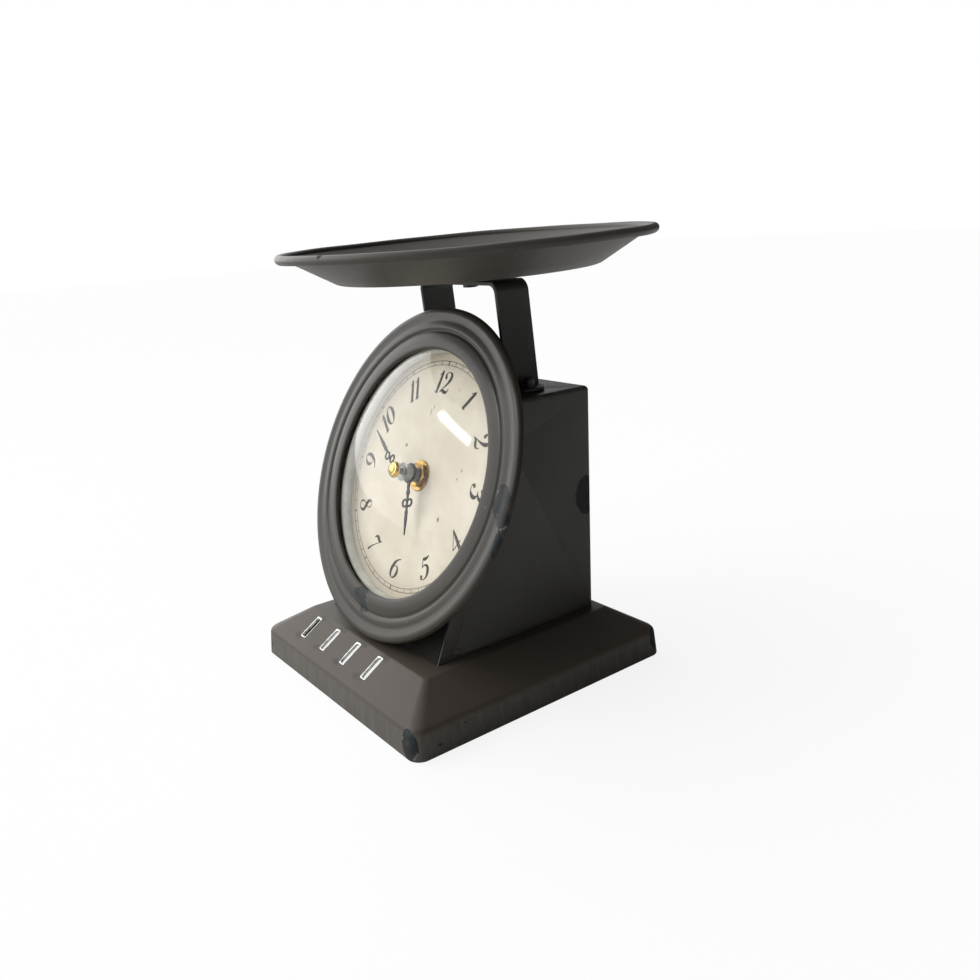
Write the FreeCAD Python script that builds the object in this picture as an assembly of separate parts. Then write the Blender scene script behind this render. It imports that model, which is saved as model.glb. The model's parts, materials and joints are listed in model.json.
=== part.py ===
"""Table clock shaped like an old kitchen scale, in sheet steel, with a quartz movement.

Row frame: millimetres, +Z up, the dial faces -Y, +X is the viewer's right.
The origin lies on the resting plane, under the middle of the overall footprint.
The dial frame has its origin at the middle of the bezel opening, x to the viewer's
right, y up along the leaning face and z straight out of the dial.
"""
import FreeCAD, Part
import math
import os

from FreeCAD import Placement, Rotation, Vector

# ---------------------------------------------------------------- driving dimensions
SHEET = 0.9                 # steel sheet of the base, housing and tray

TRAY_RADIUS = 100.5         # outside of the rolled rim
TRAY_FLOOR_RADIUS = 70.8
TRAY_DEPTH = 17.7           # floor to the top of the rim
TRAY_BEAD = 2.4             # radius of the rolled rim
TRAY_CURL = -70.0           # degrees, where the rolled edge ends
TRAY_CENTRE_Y = 4.0
TRAY_RIM_Z = 232.4
TRAY_TILT = 1.6             # degrees, rear edge high
TRAY_REACH = TRAY_RADIUS * math.cos(math.radians(TRAY_TILT))

BASE_SIZE = 166.0
BASE_FRONT_Y = -(TRAY_CENTRE_Y + TRAY_REACH)    # the origin is midway from base front to tray rear
BASE_CENTRE_Y = BASE_FRONT_Y + BASE_SIZE / 2
BASE_CORNER = 7.0
SKIRT_HEIGHT = 15.2
SKIRT_LEAN = 1.2            # how far the skirt leans in, bottom to top
DECK_Z = 28.3
DECK_INSET = 21.8
HEM_WIDTH = 6.0             # turned-in flange that the clock rests on

SLOT_FIRST_X = -45.5
SLOT_PITCH = 22.8
SLOT_COUNT = 4
SLOT_WIDTH = 4.6
SLOT_LENGTH = 14.2
SLOT_MIDDLE = 0.60          # place of the slots' middle up the front slope

HOUSING_HALF = 54.5
HOUSING_TOP_Z = 153.6
HOUSING_FRONT_Y = -70.5     # lower front corner
HOUSING_REAR_Y = 36.2       # lower rear corner
HOUSING_REAR_RISE = 2.6     # how far the rear wall leans back, bottom to top
FOLD_RADIUS = 2.5
FLANGE = 9.0                # width of the flanges on the deck
FLANGE_ENDS = (8.0, 6.0)    # flanges stop short of the front and rear corners
WINDOW_HALF = 34.0          # access window in the rear wall
WINDOW_Z = (66.0, 136.0)
WINDOW_CORNER = 3.0
PANEL_FLANGE = 14.0         # depth of the front panel's side flanges

LEAN = 23.3                 # degrees, dial face leaning back
DIAL_Y = -46.75
DIAL_Z = 114.4
PANEL_FACE = -11.9          # front panel's outer face, in the dial frame
BEZEL_RADIUS = 90.5
PAN_TAPER = 12.0            # the dial pan's floor is this much smaller than its rim
PAN_RIM = -1.7              # level of the dial pan's rim, inside the bezel's skirt
OPENING_RADIUS = 67.6
LENS_RADIUS = 69.4
LENS_RISE = 14.0
LENS_THICKNESS = 1.8
LENS_SEAT = -3.6
DIAL_FACE = -10.0
PLATE_RADIUS = 74.0         # metal disc under the paper
PAPER_RADIUS = 67.8
PAPER = 0.2

STRAP_WIDTH = 21.0
STRAP_THICK = 2.0
STRAP_HALF = 35.0           # outer face of a leg
STRAP_FOOT = 4.3            # from a leg's outer face to the screw in its foot
STRAP_FOOT_Y = 9.6
STRAP_LEAN = 4.5            # degrees, leaning forward
STRAP_BEND = 6.0
STRAP_REACH = 60.0          # larger than any cross-section of the strap
SPACER = 4.0                # between the strap and the tray's floor
SPACER_RADIUS = 9.0

# screws as (head radius, head height, shank radius, shank length)
BASE_SCREW = (3.0, 1.8, 1.5, 5.0)
BRACKET_SCREW = (3.4, 5.6, 1.5, 7.0)
TRAY_SCREW = (4.0, 2.2, 2.0, 9.0)
PAN_SCREW = (2.6, 1.5, 1.3, SHEET + 0.7)
CLEARANCE_HOLE = 1.6        # radius, for the 3 mm screws
STRAP_HOLE = 1.7
TRAY_HOLE = 2.1
RIVET_HOLE = 1.3
RIVET_OUTLINE = [(0, 0.9), (1.2, 0.7), (2.2, 0), (1.3, 0), (1.3, -2.1), (2.0, -2.1), (1.8, -2.7), (0, -2.7)]
NUT_ACROSS = 5.5
TRAY_NUT_ACROSS = 7.0

CASE_HALF = 28.0
CASE_FRONT = -13.8          # dial frame
CASE_REAR = -27.5
COVER_REAR = -29.3
CASE_WALL = 1.2
BUSH_RADIUS = 4.0
BUSH_HOLE = BUSH_RADIUS + 0.3
WASHER_RADIUS = 8.6         # brass washer on the dial
WASHER_THICK = 0.8
BRASS_NUT_ACROSS = 12.4
HOUR_PIPE = 2.6
ARBOR = 1.6
PIVOT = 0.45
RUNNING = 0.05              # radial running clearance
BATTERY_RADIUS = 7.25
BATTERY_LENGTH = 49.0
BATTERY_Y = -19.3
BATTERY_Z = -22.7
BAY_WALL_Y = -10.6
CONTACT_THICK = 0.4
CONTACT_HALF = 4.5

X_AXIS = Vector(1, 0, 0)
Y_AXIS = Vector(0, 1, 0)
Z_AXIS = Vector(0, 0, 1)
LEAN_TAN = math.tan(math.radians(LEAN))
DIAL_FRAME = Placement(Vector(0, DIAL_Y, DIAL_Z), Rotation(X_AXIS, 90 - LEAN))


# ---------------------------------------------------------------- small helpers
def cylinder(radius, low, high, x=0.0, y=0.0):
    """Upright cylinder between two levels."""
    return Part.makeCylinder(radius, high - low, Vector(x, y, low))


def tube(outer, inner, low, high, x=0.0, y=0.0):
    """Upright tube between two levels."""
    return cylinder(outer, low, high, x, y).cut(cylinder(inner, low - 1, high + 1, x, y))


def block(low, high):
    """Box between two corners."""
    size = [b - a for a, b in zip(low, high)]
    return Part.makeBox(*size, Vector(*low))


def join(shapes):
    """Fuse pieces of one solid."""
    result = shapes[0].fuse(list(shapes[1:])) if len(shapes) > 1 else shapes[0]
    return result.removeSplitter()


def revolve(points):
    """Solid of revolution about Z from a closed outline of (radius, level)."""
    outline = [Vector(r, 0, z) for r, z in points]
    return Part.Face(Part.makePolygon(outline + outline[:1])).revolve(Vector(), Z_AXIS, 360)


def plate(points, direction, thickness):
    """Flat plate from an outline of 3-D points."""
    outline = [Vector(*p) for p in points]
    face = Part.Face(Part.makePolygon(outline + outline[:1]))
    return face.extrude(Vector(*direction) * thickness)


def on_dial(shape):
    """Carry a shape from the dial frame to the row frame."""
    placed = shape.copy()
    placed.Placement = DIAL_FRAME.multiply(placed.Placement)
    return placed


def dome_screw(radius, head_height, shank, length):
    """Pan head screw, head up, its head's underside at z = 0."""
    head = revolve([(0, 0), (radius, 0), (radius, head_height * 0.35),
                    (radius * 0.8, head_height * 0.8), (radius * 0.45, head_height), (0, head_height)])
    slot = block((-radius, -radius * 0.12, head_height * 0.6), (radius, radius * 0.12, head_height * 2))
    return join([head.cut(slot), cylinder(shank, -length, 0)])


def gear(teeth, module, low, high, bore, phase=0.0):
    """Spur wheel with plain flanked teeth and generous backlash."""
    pitch = teeth * module / 2
    root = pitch - 1.2 * module
    tip = pitch + 0.65 * module
    step = 2 * math.pi / teeth
    outline = []
    for tooth in range(teeth):
        middle = (tooth + phase) * step
        for radius, turn in ((root, -0.24), (tip, -0.09), (tip, 0.09), (root, 0.24)):
            angle = middle + turn * step
            outline.append(Vector(radius * math.cos(angle), radius * math.sin(angle), low))
    wheel = Part.Face(Part.makePolygon(outline + outline[:1])).extrude(Vector(0, 0, high - low))
    return wheel.cut(cylinder(bore, low - 1, high + 1)) if bore else wheel


def rounded_rectangle(half_x, half_y, corner, z):
    """Closed wire of a rectangle with round corners, centred on the base."""
    x0, y0 = half_x - corner, half_y - corner
    turn = corner * math.sqrt(0.5)
    edges = []
    for sx, sy in ((1, -1), (1, 1), (-1, 1), (-1, -1)):
        start = Vector(sx * half_x, sy * y0, z)
        end = Vector(sx * x0, sy * half_y, z)
        if sx * sy < 0:
            start, end = end, start
        edges.append(Part.Arc(start, Vector(sx * (x0 + turn), sy * (y0 + turn), z), end).toShape())
    corners = [(e.Vertexes[0].Point, e.Vertexes[1].Point) for e in edges]
    wire = []
    for index, edge in enumerate(edges):
        following = corners[(index + 1) % 4][0]
        wire += [edge, Part.makeLine(corners[index][1], following)]
    return Part.Wire(Part.__sortEdges__(wire))


def base_block(inset, low):
    """Outer form of the base pan, or its inside when inset by the sheet."""
    half = BASE_SIZE / 2 - inset
    shoulder = half - SKIRT_LEAN
    deck = BASE_SIZE / 2 - DECK_INSET - inset * 0.6
    corner = BASE_CORNER - inset
    skirt = Part.makeLoft([rounded_rectangle(half, half, corner, low),
                           rounded_rectangle(shoulder, shoulder, corner - 0.5, SKIRT_HEIGHT - inset * 0.6)],
                          True, True)
    slope = Part.makeLoft([rounded_rectangle(shoulder, shoulder, corner - 0.5, SKIRT_HEIGHT - inset * 0.6),
                           rounded_rectangle(deck, deck, 3.0, DECK_Z - inset)], True, True)
    form = join([skirt, slope])
    edges = [e for e in form.Edges
             if abs(e.BoundBox.ZMin - e.BoundBox.ZMax) < 1e-4
             and abs(e.BoundBox.ZMin - (SKIRT_HEIGHT - inset * 0.6)) < 1e-3]
    return form.makeFillet(3.5 - inset, edges)


# ---------------------------------------------------------------- steel body
def base_pan():
    """Stamped pan: skirt, round shoulder, four slopes and a flat deck, slots in front."""
    shell = base_block(0.0, 0.0).cut(base_block(SHEET, -1.0))
    hem_outer = Part.Face(rounded_rectangle(BASE_SIZE / 2 - 0.4, BASE_SIZE / 2 - 0.4, BASE_CORNER - 0.4, 0))
    inner_half = BASE_SIZE / 2 - HEM_WIDTH
    hem_inner = Part.Face(rounded_rectangle(inner_half, inner_half, 3.0, 0))
    hem = hem_outer.cut(hem_inner).extrude(Vector(0, 0, SHEET))
    pan = join([shell, hem])
    rise = DECK_Z - SKIRT_HEIGHT
    run = DECK_INSET - SKIRT_LEAN
    slope_angle = math.degrees(math.atan2(rise, run))
    middle = Vector(0, -BASE_SIZE / 2 + SKIRT_LEAN + run * SLOT_MIDDLE, SKIRT_HEIGHT + rise * SLOT_MIDDLE)
    for index in range(SLOT_COUNT):
        half_w, half_l = SLOT_WIDTH / 2, SLOT_LENGTH / 2
        cutter = block((-half_w, -half_l, -4), (half_w, half_l, 4))
        cutter = cutter.makeFillet(0.9, [e for e in cutter.Edges if e.BoundBox.ZLength > 7])
        centre = middle + Vector(SLOT_FIRST_X + SLOT_PITCH * index, 0, 0)
        cutter.Placement = Placement(centre, Rotation(X_AXIS, slope_angle))
        pan = pan.cut(cutter)
    pan.translate(Vector(0, BASE_CENTRE_Y, 0))
    for x, y in base_screw_places():
        pan = pan.cut(cylinder(CLEARANCE_HOLE, DECK_Z - 3, DECK_Z + 1, x, y))
    return pan


def base_screw_places():
    """Screws that hold the housing's flanges on the deck."""
    x = HOUSING_HALF - FLANGE / 2 - 0.5
    return [(side * x, y) for side in (-1, 1) for y in (HOUSING_FRONT_Y + 18, HOUSING_REAR_Y - 16)]


def housing_profile(inset):
    """Side view of the housing as (y, z) corners."""
    low = DECK_Z
    lift = HOUSING_TOP_Z - low
    front_top = HOUSING_FRONT_Y + lift * LEAN_TAN
    back = HOUSING_REAR_Y - inset
    return [(HOUSING_FRONT_Y, low), (front_top - inset * LEAN_TAN, HOUSING_TOP_Z - inset),
            (back + HOUSING_REAR_RISE, HOUSING_TOP_Z - inset), (back, low)]


def housing_block(inset):
    """Solid form of the housing with its round folds."""
    half = HOUSING_HALF - inset
    outline = [(-half, y, z) for y, z in housing_profile(inset)]
    form = plate(outline, (1, 0, 0), 2 * half)
    front_top = housing_profile(inset)[1][0]
    folds = []
    for edge in form.Edges:
        box = edge.BoundBox
        on_top = box.ZMin > HOUSING_TOP_Z - inset - 0.01
        on_rear = box.YMin > front_top + 1.0
        if (on_top and box.YMax > front_top + 1.0) or (on_rear and box.ZLength > 50):
            folds.append(edge)
    return form.makeFillet(FOLD_RADIUS - inset, folds)


def housing_shell():
    """Folded shell: two sides, top and rear, open in front, with flanges on the deck."""
    inside = housing_block(SHEET)
    opened = inside.fuse([inside.translated(Vector(0, -6, 0)), inside.translated(Vector(0, 0, -4))])
    shell = housing_block(0.0).cut(opened)
    low, high = DECK_Z, DECK_Z + SHEET
    flanges = []
    for side in (-1, 1):
        edge = side * (HOUSING_HALF - SHEET / 2)
        inner = side * (HOUSING_HALF - FLANGE)
        flanges.append(block((min(edge, inner), HOUSING_FRONT_Y + FLANGE_ENDS[0], low),
                             (max(edge, inner), HOUSING_REAR_Y - FLANGE_ENDS[1], high)))
    shell = join([shell] + flanges)
    window = block((-WINDOW_HALF, HOUSING_REAR_Y - 4, WINDOW_Z[0]),
                   (WINDOW_HALF, HOUSING_REAR_Y + 6, WINDOW_Z[1]))
    window = window.makeFillet(WINDOW_CORNER, [e for e in window.Edges if e.BoundBox.YLength > 9])
    shell = shell.cut(window)
    for x, y in base_screw_places():
        shell = shell.cut(cylinder(CLEARANCE_HOLE, low - 1, high + 1, x, y))
    for x, y in strap_foot_places():
        shell = shell.cut(cylinder(CLEARANCE_HOLE, HOUSING_TOP_Z - 3, HOUSING_TOP_Z + 1, x, y))
    for y, z in rivet_places():
        shell = shell.cut(cross_hole(y, z))
    return shell


def strap_foot_places():
    """Screws through the bracket's feet, as (x, y)."""
    x = STRAP_HALF + STRAP_FOOT
    return [(-x, STRAP_FOOT_Y), (x, STRAP_FOOT_Y)]


def cross_hole(y, z):
    """Rivet hole right through both side walls."""
    return Part.makeCylinder(RIVET_HOLE, 2 * HOUSING_HALF + 4, Vector(-HOUSING_HALF - 2, y, z), X_AXIS)


def rivet_places():
    """Rivets through each side wall into the front panel's flanges, as (y, z)."""
    levels = (DECK_Z + 3.7, HOUSING_TOP_Z - 22.0)
    return [(HOUSING_FRONT_Y + 10.5 + (z - DECK_Z) * LEAN_TAN, z) for z in levels]


def front_panel():
    """Leaning front sheet between the side walls, with two folded flanges."""
    half = HOUSING_HALF - SHEET - 0.1
    slant = math.cos(math.radians(LEAN))
    length = (HOUSING_TOP_Z - SHEET - DECK_Z - 0.3) / slant
    foot = (DECK_Z + 0.15 - DIAL_Z) / slant + (SHEET - PANEL_FACE) * LEAN_TAN
    panel = block((-half, foot, PANEL_FACE - SHEET), (half, foot + length - 1.0, PANEL_FACE))
    for side in (-1, 1):
        edge, inner = side * half, side * (half - SHEET)
        flange = block((min(edge, inner), foot + 3.0, PANEL_FACE - PANEL_FLANGE),
                       (max(edge, inner), foot + length - 10.0, PANEL_FACE))
        panel = join([panel, flange])
    panel = panel.cut(cylinder(BUSH_HOLE, PANEL_FACE - 5, PANEL_FACE + 5))
    for x, y in pan_screw_places():
        panel = panel.cut(cylinder(RIVET_HOLE, PANEL_FACE - 3, PANEL_FACE + 3, x, y))
    panel = on_dial(panel)
    over_flanges = block((-HOUSING_HALF, HOUSING_FRONT_Y + 7, 0), (HOUSING_HALF, 0, DECK_Z + SHEET + 0.1))
    panel = panel.cut(over_flanges)
    for y, z in rivet_places():
        panel = panel.cut(cross_hole(y, z))
    return panel


def panel_rivets():
    """Dome rivets on both side walls."""
    rivets = []
    for side in (-1, 1):
        for y, z in rivet_places():
            rivet = revolve(RIVET_OUTLINE)
            rivet.Placement = Placement(Vector(side * HOUSING_HALF, y, z), Rotation(Y_AXIS, 90 * side))
            rivets.append(rivet)
    return Part.makeCompound(rivets)


def base_screws():
    """Screws from under the deck into the housing's flanges."""
    screws = []
    for x, y in base_screw_places():
        screw = dome_screw(*BASE_SCREW)
        screw.Placement = Placement(Vector(x, y, DECK_Z - SHEET), Rotation(X_AXIS, 180))
        screws.append(screw)
    return Part.makeCompound(screws)


def bracket_strap():
    """Flat strap bent to an inverted U with round turned-out feet, leaning forward."""
    top = TRAY_RIM_Z - TRAY_DEPTH - SPACER
    outer, thick = STRAP_HALF, STRAP_THICK
    low = HOUSING_TOP_Z
    far = STRAP_REACH
    half = STRAP_WIDTH / 2
    outside = block((-outer, -far, low), (outer, far, top + 0.4))
    outside = outside.makeFillet(STRAP_BEND, [e for e in outside.Edges
                                              if e.BoundBox.YLength > 100 and e.BoundBox.ZMin > top])
    inside = block((thick - outer, -far - 1, low - 1), (outer - thick, far + 1, top - thick))
    inside = inside.makeFillet(STRAP_BEND - thick, [e for e in inside.Edges
                                                    if e.BoundBox.YLength > 100 and e.BoundBox.ZMin > low])
    strap = outside.cut(inside)
    between = block((thick - outer, -far, low - 1), (outer - thick, far, low + thick + 1))
    for side in (-1, 1):
        foot = cylinder(half, low, low + thick, side * outer, STRAP_FOOT_Y).cut(between)
        strap = join([strap, foot])
    lean = math.tan(math.radians(STRAP_LEAN))
    front, rear = STRAP_FOOT_Y - half, STRAP_FOOT_Y + half
    rise = top + 4 - low
    side_view = [(front, low - 0.1), (front, low + thick), (front - rise * lean, low + rise),
                 (rear - rise * lean, low + rise), (rear, low + thick), (rear, low - 0.1)]
    keep = plate([(-far, y, z) for y, z in side_view], (1, 0, 0), 2 * far)
    strap = strap.common(keep)
    above = block((-far, -far, -SPACER), (far, far, 20))
    hole = cylinder(TRAY_HOLE, -12, 8)
    for cutter in (above, hole):
        cutter.Placement = tray_placement()
        strap = strap.cut(cutter)
    for x, y in strap_foot_places():
        strap = strap.cut(cylinder(STRAP_HOLE, low - 1, low + thick + 1, x, y))
    return strap.removeSplitter()


def acorn_screw(radius, height, shank, length):
    """Screw with a tall acorn head on a flange, the head's underside at z = 0."""
    head = revolve([(0, 0), (radius, 0), (radius, height * 0.18), (radius * 0.85, height * 0.27),
                    (radius * 0.8, height * 0.68), (radius * 0.5, height * 0.93), (0, height)])
    return join([head, cylinder(shank, -length, 0)])


def bracket_screws():
    """Acorn head screws through the feet, each with its nut under the housing's top."""
    screws = []
    for x, y in strap_foot_places():
        screw = acorn_screw(*BRACKET_SCREW)
        screw.translate(Vector(x, y, HOUSING_TOP_Z + STRAP_THICK))
        screws.append(screw)
    return Part.makeCompound(screws)


def hex_nut(across, hole, low, high):
    """Hexagon nut between two levels."""
    radius = across / math.sqrt(3)
    corners = [(radius * math.cos(math.radians(a)), radius * math.sin(math.radians(a)), low)
               for a in range(0, 360, 60)]
    return plate(corners, (0, 0, 1), high - low).cut(cylinder(hole, low - 1, high + 1))


def bracket_nuts():
    """Nuts of the two foot screws."""
    nuts = []
    for x, y in strap_foot_places():
        nut = hex_nut(NUT_ACROSS, BRACKET_SCREW[2], -2.4, 0)
        nut.translate(Vector(x, y, HOUSING_TOP_Z - SHEET))
        nuts.append(nut)
    return Part.makeCompound(nuts)


# ---------------------------------------------------------------- tray
def tray_placement():
    """Tray frame: origin on the underside of its floor, tilted with the tray."""
    tilt = Rotation(X_AXIS, TRAY_TILT)
    rim_centre = Vector(0, TRAY_CENTRE_Y, TRAY_RIM_Z)
    return Placement(rim_centre - tilt.multVec(Vector(0, 0, TRAY_DEPTH)), tilt)


def arc(centre_r, centre_z, radius, start, end):
    """Arc in the (radius, level) plane between two angles in degrees."""
    points = []
    for degrees in (start, (start + end) / 2, end):
        angle = math.radians(degrees)
        points.append(Vector(centre_r + radius * math.cos(angle), 0, centre_z + radius * math.sin(angle)))
    return Part.Arc(*points).toShape()


def tray():
    """Round dish: flat floor, cone wall and a rim rolled outwards and down."""
    bead_r = TRAY_RADIUS - TRAY_BEAD
    bead_z = TRAY_DEPTH - TRAY_BEAD
    inner = arc(bead_r, bead_z, TRAY_BEAD - SHEET, 180, TRAY_CURL)
    outer = arc(bead_r, bead_z, TRAY_BEAD, TRAY_CURL, 180)
    wall_top = bead_r - TRAY_BEAD
    under = [Vector(0, 0, 0), Vector(TRAY_FLOOR_RADIUS, 0, 0), Vector(wall_top + SHEET, 0, bead_z)]
    above = [Vector(wall_top, 0, bead_z), Vector(TRAY_FLOOR_RADIUS - 0.3, 0, SHEET), Vector(0, 0, SHEET)]
    end = [inner.Vertexes[-1].Point, outer.Vertexes[0].Point]
    lines = [Part.makeLine(a, b) for path in (under, end, above, [above[-1], under[0]])
             for a, b in zip(path, path[1:])]
    outline = Part.Wire(Part.__sortEdges__(lines + [inner, outer]))
    body = Part.Face(outline).revolve(Vector(), Z_AXIS, 360).cut(cylinder(TRAY_HOLE, -2, 3))
    body.Placement = tray_placement()
    return body


def tray_screw():
    """Screw down through the tray and the strap."""
    screw = dome_screw(*TRAY_SCREW)
    screw.translate(Vector(0, 0, SHEET))
    screw.Placement = tray_placement().multiply(screw.Placement)
    return screw


def tray_spacer():
    """Round spacer between the strap and the tray's floor."""
    spacer = tube(SPACER_RADIUS, TRAY_HOLE, -SPACER, 0)
    spacer.Placement = tray_placement()
    return spacer


def tray_nut():
    """Thin nut under the strap."""
    high = -SPACER - STRAP_THICK - 0.35
    nut = hex_nut(TRAY_NUT_ACROSS, TRAY_SCREW[2], high - 1.6, high)
    nut.Placement = tray_placement()
    return nut


# ---------------------------------------------------------------- dial head
def bezel_outline():
    """Outer line of the pressed bezel as (radius, level), opening edge to skirt."""
    return [(67.6, -1.1), (68.2, 0.1), (69.6, 0.7), (72.6, 0.7), (75.5, 0.3), (77.3, -0.9),
            (79.1, 0.3), (80.6, -0.1), (83.2, -0.5), (85.4, 0.4), (87.2, 1.1), (88.8, 0.9),
            (90.0, 0.0), (BEZEL_RADIUS, -1.2)]


def bezel_ring():
    """Pressed bezel: rolled opening edge, stepped groove, cove, round lip, skirt and hem."""
    outer = [Vector(r, 0, z) for r, z in bezel_outline()]
    inner = []
    for index, point in enumerate(outer):
        before = outer[max(index - 1, 0)]
        after = outer[min(index + 1, len(outer) - 1)]
        along = (after - before).normalize()
        inner.append(point + Vector(along.z, 0, -along.x) * SHEET)
    inner[0] = Vector(OPENING_RADIUS + SHEET, 0, outer[0].z)
    inner[-1] = Vector(BEZEL_RADIUS - SHEET, 0, outer[-1].z)
    top = Part.BSplineCurve()
    top.interpolate(outer)
    under = Part.BSplineCurve()
    under.interpolate(inner[::-1])
    hem = -2.4
    side = [outer[-1], Vector(BEZEL_RADIUS, 0, hem + 0.8), Vector(BEZEL_RADIUS + 0.2, 0, hem + 0.6),
            Vector(BEZEL_RADIUS + 0.2, 0, hem), Vector(BEZEL_RADIUS - SHEET, 0, hem), inner[-1]]
    edges = [top.toShape()]
    edges += [Part.makeLine(a, b) for a, b in zip(side, side[1:])]
    edges += [under.toShape(), Part.makeLine(inner[0], outer[0])]
    return Part.Face(Part.Wire(edges)).revolve(Vector(), Z_AXIS, 360)


def lens_glass():
    """Domed glass with a flat ground rim held behind the bezel."""
    seat_r = OPENING_RADIUS - 0.8
    radius = (seat_r ** 2 + LENS_RISE ** 2) / (2 * LENS_RISE)
    apex = -1.0 + LENS_RISE
    outer = Part.makeSphere(radius, Vector(0, 0, apex - radius))
    inner = Part.makeSphere(radius - LENS_THICKNESS, Vector(0, 0, apex - radius))
    dome = outer.cut(inner).common(cylinder(seat_r, LENS_SEAT + LENS_THICKNESS, apex + 1))
    rim = tube(LENS_RADIUS, seat_r - 2.4, LENS_SEAT, LENS_SEAT + 1.2)
    neck = tube(seat_r, seat_r - 2.4, LENS_SEAT + 0.6, -1.2)
    return join([dome, rim, neck.cut(inner)])


def wall_ring():
    """Pale ring between the dial and the glass."""
    return join([tube(68.8, 67.9, DIAL_FACE, LENS_SEAT), tube(71.0, 68.0, DIAL_FACE, DIAL_FACE + 0.8)])


def dial_pan():
    """Shallow cone shaped pan that carries the dial, its rim inside the bezel."""
    rim = BEZEL_RADIUS - SHEET - 0.3
    floor = rim - PAN_TAPER
    skin = 0.8
    level = PANEL_FACE
    pan = revolve([(0, level), (floor, level), (rim, PAN_RIM - 0.6), (rim, PAN_RIM), (rim - skin, PAN_RIM),
                   (rim - skin - 0.2, PAN_RIM - 0.4), (floor - 0.4, level + skin), (0, level + skin)])
    pan = pan.cut(cylinder(BUSH_HOLE, level - 1, level + 2))
    for x, y in pan_screw_places():
        pan = pan.cut(cylinder(RIVET_HOLE, level - 1, level + 2, x, y))
    return pan


def pan_screw_places():
    """Screws between pan and front panel, under the dial's edge, as dial frame (x, y)."""
    return [(x, y) for x in (-44.0, 44.0) for y in (-36.0, 36.0)]


def pan_screws():
    """Short screws driven from inside the housing, with their threads in the pan."""
    screws = []
    for x, y in pan_screw_places():
        screw = dome_screw(*PAN_SCREW)
        screw.Placement = Placement(Vector(x, y, PANEL_FACE - SHEET), Rotation(X_AXIS, 180))
        screws.append(screw)
    return Part.makeCompound(screws)


def dial_plate():
    """Flat metal disc under the printed paper."""
    return tube(PLATE_RADIUS, BUSH_HOLE, PANEL_FACE + 0.8, DIAL_FACE - PAPER)


def dial_paper():
    """Printed paper dial."""
    return tube(PAPER_RADIUS, BUSH_HOLE, DIAL_FACE - PAPER, DIAL_FACE)


# ---------------------------------------------------------------- hands
HOUR_HAND_LEVEL = -3.6
HOUR_HAND_ANGLE = 163.5     # degrees clockwise from the 12
HOUR_HAND_LENGTH = 33.8
MINUTE_HAND_LEVEL = 5.3
MINUTE_HAND_ANGLE = 296.6
MINUTE_HAND_LENGTH = 39.7
MINUTE_HAND_DROOP = 6.3     # degrees, tip bent towards the dial
HAND_THICK = 0.6
STEM_HALF = 0.65            # half width of a hand's stem
SPEAR_HALF = 0.85
LOOP_WIRE = 0.85            # width of a pierced ring
BEAD_RADIUS = 0.95
COLLET_RADIUS = 4.5


def hand_blade(length, boss, loops, bead):
    """Flat hand pointing up +y: stem, pierced loops, bead and spear.

    loops holds (distance, side offset, radius) of each pierced ring.
    """
    first = loops[0][0]
    last = max(distance + radius for distance, offset, radius in loops)
    parts = [cylinder(boss, 0, HAND_THICK)]
    parts.append(strip([(0, STEM_HALF), (first, STEM_HALF - 0.1)]))
    for distance, offset, radius in loops:
        parts.append(tube(radius, radius - LOOP_WIRE, 0, HAND_THICK, offset, distance))
    parts.append(strip([(first, 0.5), (last, 0.5)]))
    parts.append(cylinder(BEAD_RADIUS, 0, HAND_THICK, 0, bead))
    parts.append(strip([(last - 0.4, STEM_HALF - 0.1), (bead + 3, SPEAR_HALF), (length, 0.2)]))
    return join(parts)


def strip(stations):
    """Flat strip along +y whose half width is given at each station, as (y, half)."""
    right = [(half, y, 0) for y, half in stations]
    left = [(-half, y, 0) for y, half in stations[::-1]]
    return plate(right + left, (0, 0, 1), HAND_THICK)


def hour_hand():
    """Hour hand with its disc, seated on the hour wheel's pipe."""
    blade = hand_blade(HOUR_HAND_LENGTH, 5.6, [(16.2, -2.0, 2.2), (16.2, 2.0, 2.2)], 21.5)
    blade = blade.cut(cylinder(HOUR_PIPE, -1, 2))
    blade.Placement = Placement(Vector(0, 0, HOUR_HAND_LEVEL), Rotation(Z_AXIS, -HOUR_HAND_ANGLE))
    return blade


def hour_collet():
    """Flanged collet in front of the hour hand."""
    low = HOUR_HAND_LEVEL + HAND_THICK
    return join([tube(COLLET_RADIUS, HOUR_PIPE, low, 1.3), tube(COLLET_RADIUS + 0.6, HOUR_PIPE, 1.2, 1.8)])


def minute_hand():
    """Minute hand, its blade bent towards the dial beyond the boss."""
    boss = cylinder(3.0, 0, HAND_THICK)
    tongue = strip([(0, STEM_HALF), (3.2, STEM_HALF)])
    blade = hand_blade(MINUTE_HAND_LENGTH, 0.6, [(9.2, 1.0, 2.3), (15.2, -1.0, 2.3)], 21.0)
    blade.Placement = Placement(Vector(), Rotation(X_AXIS, -MINUTE_HAND_DROOP))
    hand = join([boss, tongue, blade]).cut(cylinder(1.0, -2, 3))
    hand.Placement = Placement(Vector(0, 0, MINUTE_HAND_LEVEL), Rotation(Z_AXIS, -MINUTE_HAND_ANGLE))
    return hand


def cap_nut():
    """Round brass cap nut that holds the minute hand."""
    low = MINUTE_HAND_LEVEL + HAND_THICK
    outline = [(0, 3.4), (2.0, 3.2), (3.6, 2.4), (4.4, 1.2), (4.4, 0), (0, 0)]
    body = revolve([(radius, low + level) for radius, level in outline])
    return body.cut(cylinder(1.0, low - 1, low + 2.0))


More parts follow.
